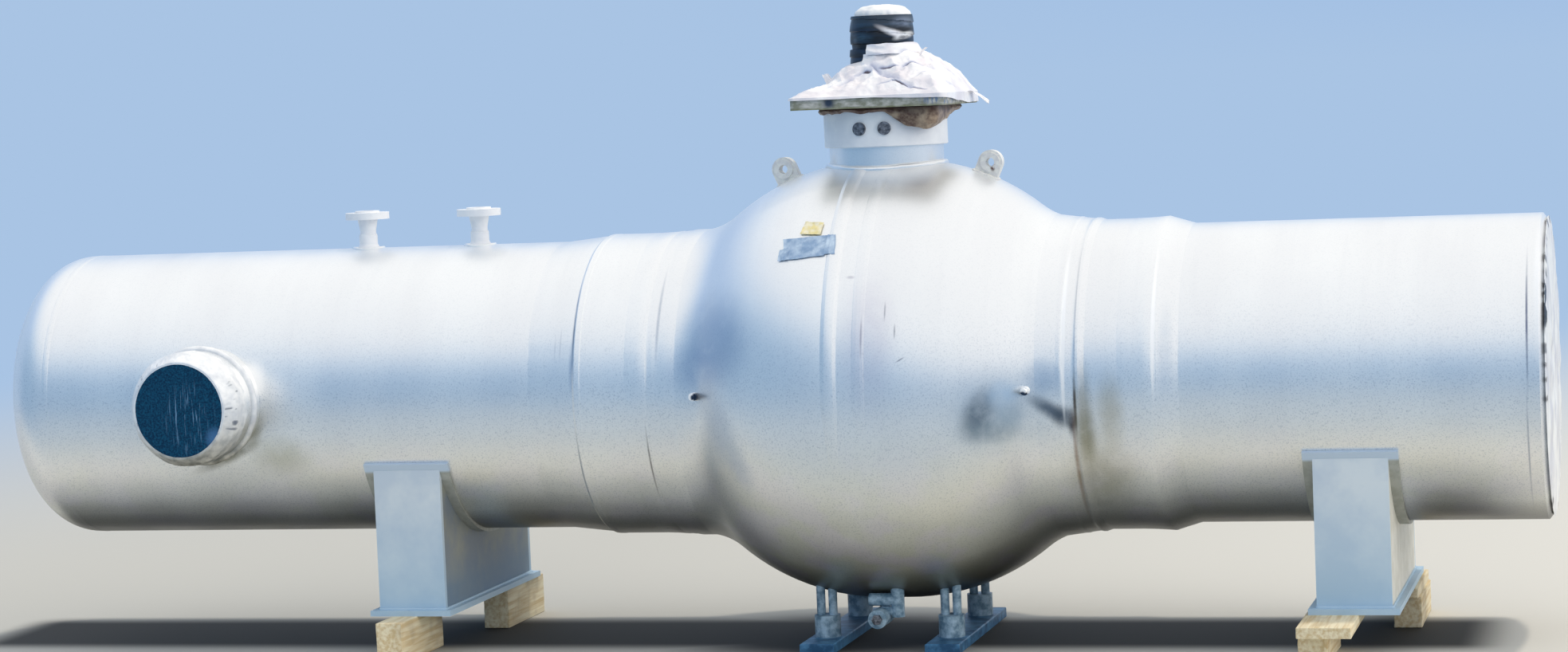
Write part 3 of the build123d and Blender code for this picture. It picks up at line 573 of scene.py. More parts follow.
# Sawn softwood: growth rings seen as long grain, saw marks across it, weathered grey-brown
sawnTimber, add, shader, where = startMaterial("sawn softwood")
# Rings are about 13 mm apart
grainWay = add("Mapping", {"Scale": (75.0, 4.0, 75.0), "Vector": where})
grain = {"Scale": 1.0, "Detail": 4.0}
rings, tone, colour = mottled(add, grainWay, grain, 0.38, 0.64, "#E8DDBF", "#CFB98F")
sawWay = add("Mapping", {"Scale": (6.0, 160.0, 6.0), "Vector": where})
saw = add("TexNoise", {"Scale": 1.0, "Detail": 2.0, "Vector": sawWay})
stain = add("TexNoise", {"Scale": 7.0, "Vector": where})
grey = add("MapRange", {0: stain, 1: 0.5, 2: 0.75, 4: 0.6})
colour = add("Mix", {0: grey, 6: colour, 7: "#8B7A63"})
relief = add("Math", {"operation": "ADD", 0: rings, 1: saw})
setSockets(shader, {
    "Base Color": colour, "Roughness": 0.8,
    "Normal": add("Bump", {"Strength": 0.4, "Distance": 0.002, "Height": relief}),
})

# Milky film over the line end: dusty in its folds, with black patches near the rim: painted shade of the gap
# behind the film
coverFilm, add, shader, where = startMaterial("dusty cover film")
foldWay = add("Mapping", {"Scale": (9.0, 10.0, 5.0), "Vector": where})
grain = {"Scale": 1.0, "Detail": 5.0}
layers, tone, colour = mottled(add, foldWay, grain, 0.36, 0.6, "#D2D2D8", "#F4F4F1")
gapShadeNoise = add("TexNoise", {"Scale": 24.0, "Detail": 3.0, "Vector": where})
foldShade = add("Attribute", {"attribute_name": "foldShade"}, "Fac")
# Painted shade: black where the fold shade marks the gap and the dashes
torn = add("MapRange", {0: gapShadeNoise, 1: 0.42, 2: 0.46})
dark = add("Math", {"operation": "MULTIPLY", 0: foldShade, 1: torn})
colour = add("Mix", {0: dark, 6: colour, 7: "#16171C"})
setSockets(shader, {
    "Base Color": colour, "Roughness": 0.36, "IOR": 1.5,
    "Normal": add("Bump", {"Strength": 0.45, "Distance": 0.005, "Height": layers}),
})

finishes = {
    "aluminium_paint": aluminiumPaint, "white_paint": made["whitePaint"],
    "saddle_paint": made["saddlePaint"], "foot_paint": made["footPaint"],
    "plug_steel": made["plugSteel"], "blue_sheet": blueSheet,
    "dark_tape": darkTape, "white_cap": made["capCloth"], "wrap_film": wrapFilm, "cover_film": coverFilm,
    "sawn_timber": sawnTimber,
}
ownFinish = {
    "left_grease_fitting": fittingGlintAndShade, "right_grease_fitting": fittingGlintAndShade,
    "left_saddle_wear_plate": made["wearPaint"], "right_saddle_wear_plate": made["wearPaint"],
    # The webs take a painted sunlit and a painted shaded copy of the saddle epoxy
    "right_saddle_webs": made["sunlitWebPaint"], "left_saddle_webs": made["shadedWebPaint"],
    "actuator_flange": rimPrimer, "left_lifting_lug": lugPaint, "right_lifting_lug": lugPaint,
    "left_legs": made["legPaint"], "right_legs": made["legPaint"], "drain_valve": made["legPaint"],
}
for nodeName, node in nodes.items():
    for place in node.material_slots:
        wanted = place.material.name.split(".")[0]
        place.material = ownFinish.get(nodeName, finishes[wanted])
print("materials made:", len(bpy.data.materials))


# Girth welds round the pipe

girthWelds = {
    # Each is its middle, how far it sinks into the steel underneath, and its section as a row of
    # (place along the pipe from the middle, radius) with both ends below the steel
    "head_weld": (headWeldX, 0.0, (
        (-0.014, pipeR - 0.001), (-0.010, pipeR + 0.0003), (0.0, pipeR + 0.0008), (0.010, pipeR + 0.0003),
        (0.014, pipeR - 0.001))),
    "launch_weld": (launchWeldX, 0.0, (
        (-0.140, pipeR - 0.001), (-0.130, pipeR + 0.0003), (-0.090, pipeR + 0.0016),
        (-0.050, pipeR + 0.0044), (-0.010, pipeR + 0.0088), (0.0337, pipeR + 0.0146),
        (0.0467, pupR + 0.0008), (0.066, pupR + 0.0010), (0.074, pupR - 0.001))),
    "left_body_weld": (leftBodyX, 0.0, (
        (-0.110, pupR - 0.001), (-0.100, pupR + 0.0003), (-0.060, pupR + 0.0017),
        (-0.0238, pupR + 0.0042), (-0.0138, pupR + 0.0006), (0.0317, pupR + 0.0090),
        (0.092, pupR + 0.0090))),
    "left_band_weld": (bandLow.x, 0.006, (
        (-0.034, bodyR - 0.002), (-0.030, bodyR + 0.0001), (-0.018, bodyR + 0.0042),
        (0.012, bodyR + 0.0046), (0.023, bodyR + 0.0004), (0.027, bodyR - 0.001))),
    "right_band_weld": (bandHigh.x, 0.004, (
        (-0.024, bodyR - 0.001), (-0.020, bodyR + 0.0003), (-0.006, bodyR + 0.0013),
        (0.008, bodyR + 0.0013), (0.020, bodyR + 0.0001), (0.024, bodyR - 0.002))),
    "right_body_weld": (rightBodyX, 0.0, (
        (-0.140, pupR + 0.0232), (-0.128, pupR + 0.0203), (-0.112, pupR + 0.0173),
        (-0.095, pupR + 0.0150), (-0.075, pupR + 0.0133), (-0.0518, pupR + 0.0125),
        (-0.0318, pupR + 0.0056), (-0.006, pupR + 0.0056), (0.002, pupR + 0.0076),
        (0.010, pupR + 0.0074), (0.030, pupR + 0.0004), (0.034, pupR - 0.001))),
    "line_weld": (lineWeldX, 0.0, (
        (-0.200, pupR - 0.001), (-0.190, pupR + 0.0002), (-0.150, pupR + 0.0012),
        (-0.110, pupR + 0.0032), (-0.0765, pupR + 0.0056), (-0.0605, pupR + 0.0003),
        (0.014, pipeR + 0.0004), (0.018, pipeR - 0.001))),
}
# How far a bead wanders along the pipe, swells and ripples outwards, each with its wave's length, and where
# below the axis the grinding underneath starts and the height over which it grows
beadLook = {
    "wander": (0.0012, 0.16), "swell": (0.0003, 0.05), "ripple": (0.0001, 0.009), "grind": (0.05, 0.25),
}
for name, (x, sink, section) in girthWelds.items():
    # Points close to each corner keep the short facets crisp
    full = [section[0]]
    for (a0, r0), (a1, r1) in zip(section, section[1:]):
        for share in (0.12, 0.88, 1.0) if a1 - a0 < 0.028 else (1.0,):
            full.append((a0 + (a1 - a0) * share, r0 + (r1 - r0) * share))
    pickNone()
    bpy.ops.mesh.primitive_circle_add(
        vertices=len(full), radius=0.02, location=(0, 0, 0), rotation=(math.pi / 2, 0, 0))
    bead = bpy.context.object
    bpy.ops.object.transform_apply(location=True, rotation=True, scale=True)
    for point, (along, radius) in zip(bead.data.vertices, full):
        point.co = (x + along, 0, axisZ + radius)
    bpy.ops.object.mode_set(mode="EDIT")
    bpy.ops.mesh.select_all(action="SELECT")
    bpy.ops.mesh.spin(steps=240, angle=2 * math.pi, center=(x, 0, axisZ), axis=(1, 0, 0))
    bpy.ops.object.mode_set(mode="OBJECT")
    facesOut(bead)

    def ripple(p, sink=sink):
        # The bead wanders a little, each pass leaves a faint ripple, and it is ground away underneath
        out = Vector((0, p.y, p.z - axisZ))
        turn = math.atan2(out.z, out.y) * out.length
        (wander, wanderSize), (swell, swellSize), (wave, waveSize), (start, over) = beadLook.values()
        lift = swell * rough(turn, p.x, 3, swellSize) + wave * math.sin(turn / waveSize)
        lift -= sink * max(0.0, min(1.0, (axisZ - start - p.z) / over))
        along = p.x + wander * rough(turn, p.x, 0, wanderSize)
        return Vector((along, 0, axisZ)) + out.normalized() * (out.length + lift)

    movePoints(bead, ripple)
    finishPiece(bead, name, aluminiumPaint, 60)
print("girth welds made:", len(girthWelds))


# Fillet welds where nozzles, the neck, the lugs and the saddles are welded on

def roughBead(ring, beadRadius):
    movePoints(ring, lambda p: p + 0.16 * beadRadius * Vector(
        (rough(p.x, p.y, p.z, 0.03), rough(p.y, p.z, p.x, 0.03), rough(p.z, p.x, p.y, 0.03))))


def contourWeld(name, ringRadius, centre, turn, carriers, beadRadius, material):
    # A ring dropped onto what it is welded to, then thickened into a bead
    pickNone()
    bpy.ops.mesh.primitive_circle_add(vertices=144, radius=ringRadius, location=centre, rotation=turn)
    ring = bpy.context.object
    for carrier in carriers:
        useModifier(ring, "SHRINKWRAP", {
            "wrap_method": "PROJECT", "use_project_z": True, "use_negative_direction": True,
            "use_positive_direction": False, "target": nodes[carrier],
        })
    bpy.ops.object.convert(target="CURVE")
    ring = bpy.context.object
    ring.data.bevel_depth = beadRadius
    ring.data.bevel_resolution = 2
    bpy.ops.object.convert(target="MESH")
    ring = bpy.context.object
    bpy.ops.object.transform_apply(location=True, rotation=True, scale=True)
    facesOut(ring)
    roughBead(ring, beadRadius)
    return finishPiece(ring, name, material, 60)


def outlinePoints(halfWide, halfDeep, corner, each):
    # Points round a rectangle with rounded corners
    points = []
    for quarter, (sx, sy) in enumerate(((1, 1), (-1, 1), (-1, -1), (1, -1))):
        for step in range(each + 1):
            turn = math.radians(90 * quarter + 90 * step / each)
            points.append((sx * (halfWide - corner) + corner * math.cos(turn),
                           sy * (halfDeep - corner) + corner * math.sin(turn)))
    full = []
    for (x0, y0), (x1, y1) in zip(points, points[1:] + points[:1]):
        steps = max(1, round(math.hypot(x1 - x0, y1 - y0) / 0.008))
        full += [(x0 + (x1 - x0) * k / steps, y0 + (y1 - y0) * k / steps) for k in range(steps)]
    return full


# How far a weld's ring stands off the part that is welded on, and the radius of its bead
filletWelds = {"kicker": (0.003, 0.014), "vent": (0.001, 0.006), "neck": (0.004, 0.013)}
# The butt weld that joins a vent flange to its branch
ventButt = {"ring": 0.0312, "bead": 0.0025}
kickerLow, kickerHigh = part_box("kicker_nozzle")
kickerX = (kickerLow.x + kickerHigh.x) / 2
kickerR = (kickerHigh.x - kickerLow.x) / 2
off, bead = filletWelds["kicker"]
contourWeld("kicker_weld", kickerR + off, (kickerX, -0.6, axisZ), (-math.pi / 2, 0, 0),
            ["launch_barrel"], bead, nozzleTape)
for number in (1, 2):
    low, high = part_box(f"vent_branch_{number}")
    ventX = (low.x + high.x) / 2
    off, bead = filletWelds["vent"]
    contourWeld(f"vent_weld_{number}", (high.x - low.x) / 2 + off, (ventX, 0, axisZ + pipeR + 0.05),
                (0, 0, 0), ["launch_barrel"], bead, aluminiumPaint)
    contourWeld(f"vent_butt_{number}", ventButt["ring"], (ventX, 0, high.z + 0.02),
                (0, 0, 0), [f"vent_branch_{number}"], ventButt["bead"], made["whitePaint"])
neckLow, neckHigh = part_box("body_neck")
neckR = (neckHigh.y - neckLow.y) / 2
off, bead = filletWelds["neck"]
bodyShell = ["body_band", "left_body_closure", "right_body_closure"]
contourWeld("neck_weld", neckR + off, (valveX, 0, axisZ + bodyR + 0.03), (0, 0, 0),
            bodyShell, bead, aluminiumPaint)
# The eye of a lug is eyeAlong from the valve's middle and eyeOut from the centre of its half ball
lugWeld = {
    "halfWide": 0.0465, "halfDeep": 0.0225, "corner": 0.005, "bead": 0.0065,
    "eyeAlong": 0.385, "eyeOut": 0.845,
}
bandHalf = (bandHigh.x - bandLow.x) / 2
for side, name in ((-1, "left"), (1, "right")):
    low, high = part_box(f"{name}_lifting_lug")
    ballCentre = Vector((valveX + side * bandHalf, 0, axisZ))
    lean = math.asin((lugWeld["eyeAlong"] - bandHalf) / lugWeld["eyeOut"])
    out = Vector((side * math.sin(lean), 0, math.cos(lean)))
    flat = Vector((math.cos(lean), 0, -side * math.sin(lean)))
    places = []
    for across, deep in outlinePoints(lugWeld["halfWide"], lugWeld["halfDeep"], lugWeld["corner"], 3):
        rise = math.sqrt(bodyR ** 2 - across ** 2 - deep ** 2)
        places.append(ballCentre + flat * across + Vector((0, deep, 0)) + out * rise)
    bead = beadAlong(places, True, lugWeld["bead"])
    roughBead(bead, lugWeld["bead"])
    finishPiece(bead, f"{name}_lug_weld", lugPaint, 60)
saddleWeld = {"bead": 0.006, "off": 0.001, "corner": 0.002}
for name in ("left_saddle", "right_saddle"):
    plateLowEnd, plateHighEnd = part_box(f"{name}_end_plates")
    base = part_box(f"{name}_base_plate")[1].z
    middleX = (plateLowEnd.x + plateHighEnd.x) / 2
    off = saddleWeld["off"]
    outline = outlinePoints(
        (plateHighEnd.x - plateLowEnd.x) / 2 + off, plateHighEnd.y + off, saddleWeld["corner"], 1)
    places = [(middleX + across, deep, base + off) for across, deep in outline]
    bead = beadAlong(places, True, saddleWeld["bead"])
    finishPiece(bead, f"{name}_foot_weld", made["saddlePaint"], 60)
print("fillet welds made")


# Kicker bevel, taped over

kickerTape = {"faceRadius": 0.1685, "lipRadius": 0.176, "skirt": 0.080, "torn": 0.020, "lift": 0.0020}
# The sheet lies offNozzle in front of the nozzle's end, over the disc that covers the bore
kickerSheet = {"radius": 0.1712, "offNozzle": 0.0095, "dish": 0.0025, "ripple": 0.0012, "crease": 0.0008}


def discSkin(u, v):
    # The blue sheet is drawn tight, with slack ripples that run out to the tape
    turn = 2 * math.pi * u
    radius = kickerSheet["radius"] * v
    x, z = radius * math.cos(turn), radius * math.sin(turn)
    slack = kickerSheet["dish"] * (1 - v * v)
    slack += kickerSheet["ripple"] * v * math.cos(turn * 11 + 2 * rough(x, z, 0, 0.08))
    forward = kickerSheet["offNozzle"] + slack * 0.4 + kickerSheet["crease"] * crumple(x, z, 1, 0.06)
    return (kickerX + x, kickerLow.y - forward, axisZ + z)


disc = makeSheet("kicker_blue_sheet", discSkin, (144, 24), 0.0010, blueSheet)


def kickerBand(u, v):
    # v runs from the face of the disc over the bevel and back along the nozzle to a torn edge
    turn = 2 * math.pi * u
    lap = 0.5 + 0.5 * math.sin(turn * 9 + 2 * rough(u * 9, 0, 0, 1))
    faceY = kickerLow.y
    back = kickerTape["skirt"] + kickerTape["torn"] * rough(math.cos(turn), math.sin(turn), 0, 0.25)
    back += 0.6 * kickerTape["torn"] * rough(math.cos(turn), math.sin(turn), 5, 0.06)
    profile = (
        (0.0, kickerTape["faceRadius"], faceY - 0.0105),
        (0.12, kickerTape["lipRadius"], faceY - 0.0095),
        (0.2, kickerTape["lipRadius"] + 0.003, faceY - 0.004),
        (0.55, kickerR + 0.001, faceY + 0.04),
        (1.0, kickerR + 0.0015, faceY + 0.04 + back),
    )
    radius, y = alongProfile(profile, v)
    crease = crumple(math.cos(turn), math.sin(turn), y * 4, 0.07)
    lift = kickerTape["lift"] * (lap + 0.8 * crease)
    radius += max(lift, 0.0004) * (1 if v > 0.15 else 0.3)
    # Painted shade: dark dashes where the tape has lifted, up on the left and out on the right, and a little
    # in the creases elsewhere
    place = math.degrees(turn) % 360
    lifted = (95 < place < 150 or place < 30 or place > 335) and 0.18 < v < 0.75
    dash = max(0.0, rough(turn * 0.9, v * 0.14, 8, 0.05) - 0.30) * 4
    dark = min(0.8, dash) if lifted else 0.15 * max(0.0, -crease)
    return (kickerX + radius * math.cos(turn), y, axisZ + radius * math.sin(turn), dark)


makeSheet("kicker_tape", kickerBand, (288, 36), 0.0008, nozzleTape, offset=1.0)
print("kicker sheet and tape made")


# Stem wrapped in tape

stemTape = {
    "radius": 0.1105, "upperBulge": 0.005, "lowerRadius": 0.119, "lowerTop": 0.172,
    # Height of one turn, how far it leans, its step over the next and the unevenness
    "lap": 0.045, "lean": 0.01, "step": 0.0022, "uneven": 0.003,
}


def stemSkin(u, v):
    turn = 2 * math.pi * u
    rise = v * (stemHigh.z - stemLow.z)
    lower = rise < stemTape["lowerTop"]
    radius = stemTape["lowerRadius"] if lower else stemTape["radius"]
    if not lower:
        along = (rise - stemTape["lowerTop"]) / (stemHigh.z - stemLow.z - stemTape["lowerTop"])
        radius += stemTape["upperBulge"] * math.sin(math.pi * along)
    lean = rise + stemTape["lean"] * math.sin(turn + 1.0)
    radius -= stemTape["step"] * (2 * ((lean / stemTape["lap"]) % 1.0) - 1)
    radius += stemTape["uneven"] * rough(math.cos(turn) * 0.12, math.sin(turn) * 0.12, rise, 0.05)
    return (valveX + radius * math.cos(turn), radius * math.sin(turn), stemLow.z + rise)


stem = sheetFrom(144, 96, stemSkin, wrap=True)
pickOnly(stem)
bpy.ops.object.mode_set(mode="EDIT")
bpy.ops.mesh.select_mode(type="EDGE")
bpy.ops.mesh.select_all(action="DESELECT")
bpy.ops.mesh.select_non_manifold()
bpy.ops.mesh.fill_holes(sides=0)
bpy.ops.object.mode_set(mode="OBJECT")
facesOut(stem)
finishPiece(stem, "taped_stem", darkTape, 35)
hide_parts("stem_housing")

# White cap tied over the top of the stem
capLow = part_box("stem_cap")[0]
capShape = {
    "radius": 0.102, "crown": 0.037, "shift": 0.006,
    "pleats": 17, "pleatDeep": 0.0016, "droop": 0.010, "lump": 0.0025,
    # Share of the way down the cloth, share of the radius and share of the crown's height
    "profile": (
        (0.0, 0.0, 1.0), (0.3, 0.45, 0.97), (0.6, 0.78, 0.80), (0.8, 0.95, 0.45), (0.88, 1.0, 0.15),
        (1.0, 1.01, -0.55),
    ),
}


def capSkin(u, v):
    turn = 2 * math.pi * u
    share, rise = alongProfile(capShape["profile"], v)
    pleat = math.sin(capShape["pleats"] * turn + 3 * rough(math.cos(turn), math.sin(turn), 0, 0.6))
    radius = capShape["radius"] * share + capShape["pleatDeep"] * pleat * share ** 3
    droop = capShape["droop"] * max(0, math.cos(turn - 0.3)) * share ** 4
    lump = capShape["lump"] * crumple(math.cos(turn) * share, math.sin(turn) * share, v, 0.45)
    return (valveX + capShape["shift"] + radius * math.cos(turn), radius * math.sin(turn),
            capLow.z + capShape["crown"] * rise - droop + lump)


cap = makeSheet("cap_cloth", capSkin, (160, 40), 0.0012, made["capCloth"], smooth=50)
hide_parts("stem_cap")
print("stem and cap made")


# Film over the flange

filmShape = {
    "stemRadius": 0.121, "reach": 0.2885, "corner": 0.030, "viewTurn": math.radians(15),
    # Share of the sheet before it turns down, its least height over the plate, and how high its facets
    # and creases are
    "flatShare": 0.86, "least": 0.0012, "facets": 0.011, "creases": 0.0045,
    # How far the edge hangs, by turn in degrees
    "hang": (
        (-180, 0.004), (-110, 0.005), (-85, 0.003), (-62, 0.009), (-45, 0.012), (-20, 0.026), (20, 0.036),
        (50, 0.034), (75, 0.016), (120, 0.010), (180, 0.004),
    ),
    # Height over the plate by the share of the way out, towards viewTurn and on the side away from it
    "highSide": ((0.0, 0.176), (0.24, 0.138), (0.43, 0.108), (0.76, 0.060), (0.88, 0.027), (1.0, 0.004)),
    "lowSide": ((0.0, 0.116), (0.2, 0.088), (0.3, 0.060), (0.43, 0.030), (0.6, 0.024), (1.0, 0.004)),
    # Folds: turn in degrees and share out for both ends, rise, half width in metres, shade of the hollow
    "folds": (
        (264, 0.17, 281, 0.35, -0.014, 0.017, 0.85), (281, 0.35, 296, 0.76, -0.015, 0.018, 0.80),
        (296, 0.76, 302, 0.88, -0.010, 0.012, 0.7), (289, 0.66, 300, 0.86, 0.012, 0.010, 0.0),
        (289, 0.70, 300, 0.87, -0.007, 0.0045, 1.5), (300, 0.87, 309, 0.92, -0.006, 0.0045, 1.3),
        (276, 0.24, 299, 0.34, -0.007, 0.006, 1.2), (303, 0.36, 325, 0.42, -0.010, 0.009, 1.2),
        (302, 0.73, 331, 0.79, -0.007, 0.005, 0.7), (276, 0.77, 291, 0.73, -0.006, 0.005, 0.7),
        (256, 0.25, 269, 0.31, -0.010, 0.008, 1.4), (256, 0.15, 238, 0.30, 0.014, 0.010, 0.0),
        (252, 0.29, 238, 0.56, 0.014, 0.011, 0.0), (250, 0.36, 240, 0.62, -0.009, 0.007, 0.6),
        (260, 0.20, 248, 0.36, -0.008, 0.007, 0.6), (238, 0.17, 226, 0.34, 0.013, 0.010, 0.0),
        (232, 0.20, 222, 0.46, -0.009, 0.008, 0.5), (268, 0.42, 262, 0.95, 0.007, 0.016, 0.0),
        (282, 0.50, 280, 0.98, 0.006, 0.016, 0.0), (324, 0.49, 352, 0.75, 0.014, 0.012, 0.0),
        (318, 0.46, 340, 0.70, -0.008, 0.008, 0.5), (345, 0.40, 15, 0.80, -0.009, 0.010, 0.5),
        (10, 0.34, 28, 0.92, 0.014, 0.012, 0.0), (333, 0.83, 350, 0.92, -0.007, 0.006, 0.5),
        (316, 0.62, 312, 0.96, 0.008, 0.014, 0.0), (345, 0.15, 350, 0.90, 0.012, 0.016, 0.0),
        (45, 0.10, 45, 1.0, 0.016, 0.020, 0.0), (75, 0.15, 80, 0.95, 0.014, 0.018, 0.0),
        (60, 0.2, 64, 0.9, -0.010, 0.012, 0.6), (95, 0.2, 100, 0.9, -0.010, 0.012, 0.6),
        (110, 0.15, 120, 0.95, 0.014, 0.018, 0.0), (150, 0.15, 140, 0.95, 0.014, 0.018, 0.0),
        (132, 0.2, 130, 0.9, -0.010, 0.012, 0.6), (165, 0.2, 170, 0.9, -0.010, 0.012, 0.6),
        (180, 0.15, 190, 0.95, 0.014, 0.018, 0.0), (205, 0.35, 240, 0.45, 0.012, 0.012, 0.0),
        (195, 0.2, 205, 0.9, -0.010, 0.012, 0.6),
    ),
}


def plateEdge(turn, reach, corner):
    # Distance from the axis to a square of that half side with rounded corners, in direction turn
    across, up = abs(math.cos(turn)), abs(math.sin(turn))
    flat = reach / max(across, up)
    middle = reach - corner
    dot = middle * (across + up)
    inside = dot * dot - 2 * middle * middle + corner * corner
    if min(across, up) / max(across, up) > middle / reach and inside > 0:
        return dot + math.sqrt(inside)
    return flat


def filmSpot(degrees, share):
    # Place on the plate, seen from above, from a turn and a share of the way out
    angle = math.radians(degrees)
    edge = plateEdge(angle, filmShape["reach"], filmShape["corner"])
    out = filmShape["stemRadius"] + (edge - filmShape["stemRadius"]) * share
    return Vector((out * math.cos(angle), out * math.sin(angle)))


foldLines = [(filmSpot(a, b), filmSpot(c, d), high, wide, dark)
             for a, b, c, d, high, wide, dark in filmShape["folds"]]


def filmSkin(u, v):
    turn = 2 * math.pi * u
    edge = plateEdge(turn, filmShape["reach"], filmShape["corner"])
    sideways = 0.5 + 0.5 * math.cos(turn - filmShape["viewTurn"])
    share = min(v / filmShape["flatShare"], 1.0)
    radius = filmShape["stemRadius"] + (edge - filmShape["stemRadius"]) * share
    rise = sideways * between(filmShape["highSide"], share)
    rise += (1 - sideways) * between(filmShape["lowSide"], share)
    here = Vector((radius * math.cos(turn), radius * math.sin(turn)))
    loose = math.sin(math.pi * share) ** 0.6 if 0 < share < 1 else 0.0
    dark = 0.0
    for start, end, high, wide, shade in foldLines:
        along = end - start
        reach = max(0.0, min(1.0, (here - start).dot(along) / along.length_squared))
        gap = (here - start - along * reach).length
        if gap < wide:
            taper = 0.35 + 0.65 * math.sin(math.pi * reach) ** 0.5
            rise += high * (1 - gap / wide) ** 1.2 * loose * taper
            dark = max(dark, shade * (1 - gap / wide) * taper)
    facets = crumple(here.x, here.y, 0, 0.085)
    small = crumple(here.x, here.y, 4, 0.028)
    rise += loose * (filmShape["facets"] * facets + filmShape["creases"] * small)
    dark = min(1.0, max(dark, 0.65 * max(0.0, -small) * loose))
    rise = max(rise, filmShape["least"])
    if v > filmShape["flatShare"]:
        # The last strip turns down over the rim of the plate, further at the back right corner
        drop = (v - filmShape["flatShare"]) / (1 - filmShape["flatShare"])
        place = (math.degrees(turn) + 180) % 360 - 180
        deep = between(filmShape["hang"], place) * (1 + 0.15 * rough(here.x, here.y, 1, 0.10))
        radius += 0.002 + 0.003 * drop * (1 + rough(here.x, here.y, 2, 0.04))
        rise = rise * (1 - drop) - deep * drop
    return (valveX + radius * math.cos(turn), radius * math.sin(turn), plateHigh.z + rise, dark)


film = makeSheet("flange_film", filmSkin, (420, 96), 0.0009, wrapFilm, offset=1.0, smooth=24)
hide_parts("film_wrap")


# The film is bound to the stem by a few turns of itself, open at the left where the tape shows. They lean and
# wave up and down, stand out further towards viewTurn at their lower edge, and are pleated
bindingLook = {"lean": 0.012, "wave": 0.006, "flare": 0.016, "pleat": 0.0045}


def bindingSkin(start, end, low, high, outLow, outHigh, seed):
    def place(u, v):
        turn = math.radians(start + (end - start) * u)
        sideways = 0.5 + 0.5 * math.cos(turn - filmShape["viewTurn"])
        rise = low + (high - low) * v + bindingLook["lean"] * math.sin(turn + seed)
        rise += bindingLook["wave"] * rough(math.cos(turn), math.sin(turn), seed, 0.35)
        radius = outLow + (outHigh - outLow) * v + bindingLook["flare"] * sideways * (1 - v)
        pleat = crumple(math.cos(turn) * 0.4, math.sin(turn) * 0.4, rise * 7 + seed, 0.2)
        radius += bindingLook["pleat"] * pleat
        edge = 1 - min(v, 1 - v) * 4
        # The fourth value is painted shade in the pleats and along both edges
        return (valveX + radius * math.cos(turn), radius * math.sin(turn), plateHigh.z + rise,
                max(0.0, -pleat) * 0.8 + 0.25 * max(0.0, edge))
    return place


windings = (
    ("film_winding_1", 250, 505, 0.120, 0.160, 0.139, 0.125, 1.0),
    ("film_winding_2", 256, 498, 0.140, 0.178, 0.131, 0.1225, 2.3),
)
for name, start, end, low, high, outLow, outHigh, seed in windings:
    skin = bindingSkin(start, end, low, high, outLow, outHigh, seed)
    turnOf = makeSheet(name, skin, (180, 12), 0.0012, wrapFilm, smooth=30, wrap=False)

# Loose ends of film: a torn tail off the back right corner of the plate, ears on the left and a tuft on the
# right. Each is where it starts, its tip, the way its width lies, its width and the share of it at the tip
looseEnds = {
    "film_tail": ((0.283, 0.12, 0.006), (0.354, 0.165, -0.046), (0.0, 1.0, 0.0), 0.10, 0.15),
    "film_ear": ((-0.160, -0.085, 0.006), (-0.196, -0.090, 0.082), (0.97, 0.26, 0.0), 0.044, 0.5),
    "film_ear_small": ((-0.164, -0.090, 0.006), (-0.148, -0.090, 0.078), (0.97, 0.26, 0.0), 0.032, 0.45),
    "film_tuft": ((0.135, -0.060, 0.118), (0.176, -0.055, 0.160), (0.5, -0.85, 0.0), 0.050, 0.5),
}
for name, (start, tip, side, wide, left) in looseEnds.items():
    start, tip, side = Vector(start), Vector(tip), Vector(side).normalized()

    def looseSkin(u, v, start=start, tip=tip, side=side, wide=wide, left=left):
        middle = start.lerp(tip, v) + Vector((valveX, 0, plateHigh.z))
        middle += side * ((u - 0.5) * wide * (1 - (1 - left) * v) + 0.08 * wide * rough(u, v, 0, 0.2))
        middle.z += 0.14 * wide * (math.sin(math.pi * v) + crumple(u, v * 0.3, 2, 0.5) * v)
        middle += side.cross(tip - start).normalized() * 0.08 * wide * crumple(u, v, 5, 0.5)
        # The fourth value is painted shade in the creases
        return (*middle, 0.5 * max(0.0, -crumple(u, v, 5, 0.4)))

    loose = makeSheet(name, looseSkin, (12, 16), 0.0009, wrapFilm, smooth=30, wrap=False)
    size = (wide * (1 + left) / 2, (tip - start).length)
print("film over the flange made")


# Brown film gathered under the flange, with the lobe that hangs in front of the bonnet
bonnetLow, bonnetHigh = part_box("bonnet")
bonnetR = (bonnetHigh.x - bonnetLow.x) / 2
underFilm = {
    "reach": 0.240, "corner": 0.05, "leftReach": 0.234, "leftCorner": 0.21,
    "drop": 0.017, "lobeDrop": 0.066,
    # How much of the lobe there is by turn in degrees: lowest near the front right corner
    "lobe": (
        (-180, 0.0), (-78, 0.0), (-72, 0.18), (-62, 0.66), (-54, 0.92), (-47, 1.0), (-38, 0.90),
        (-20, 0.58), (10, 0.25), (40, 0.0), (180, 0.0),
    ),
}


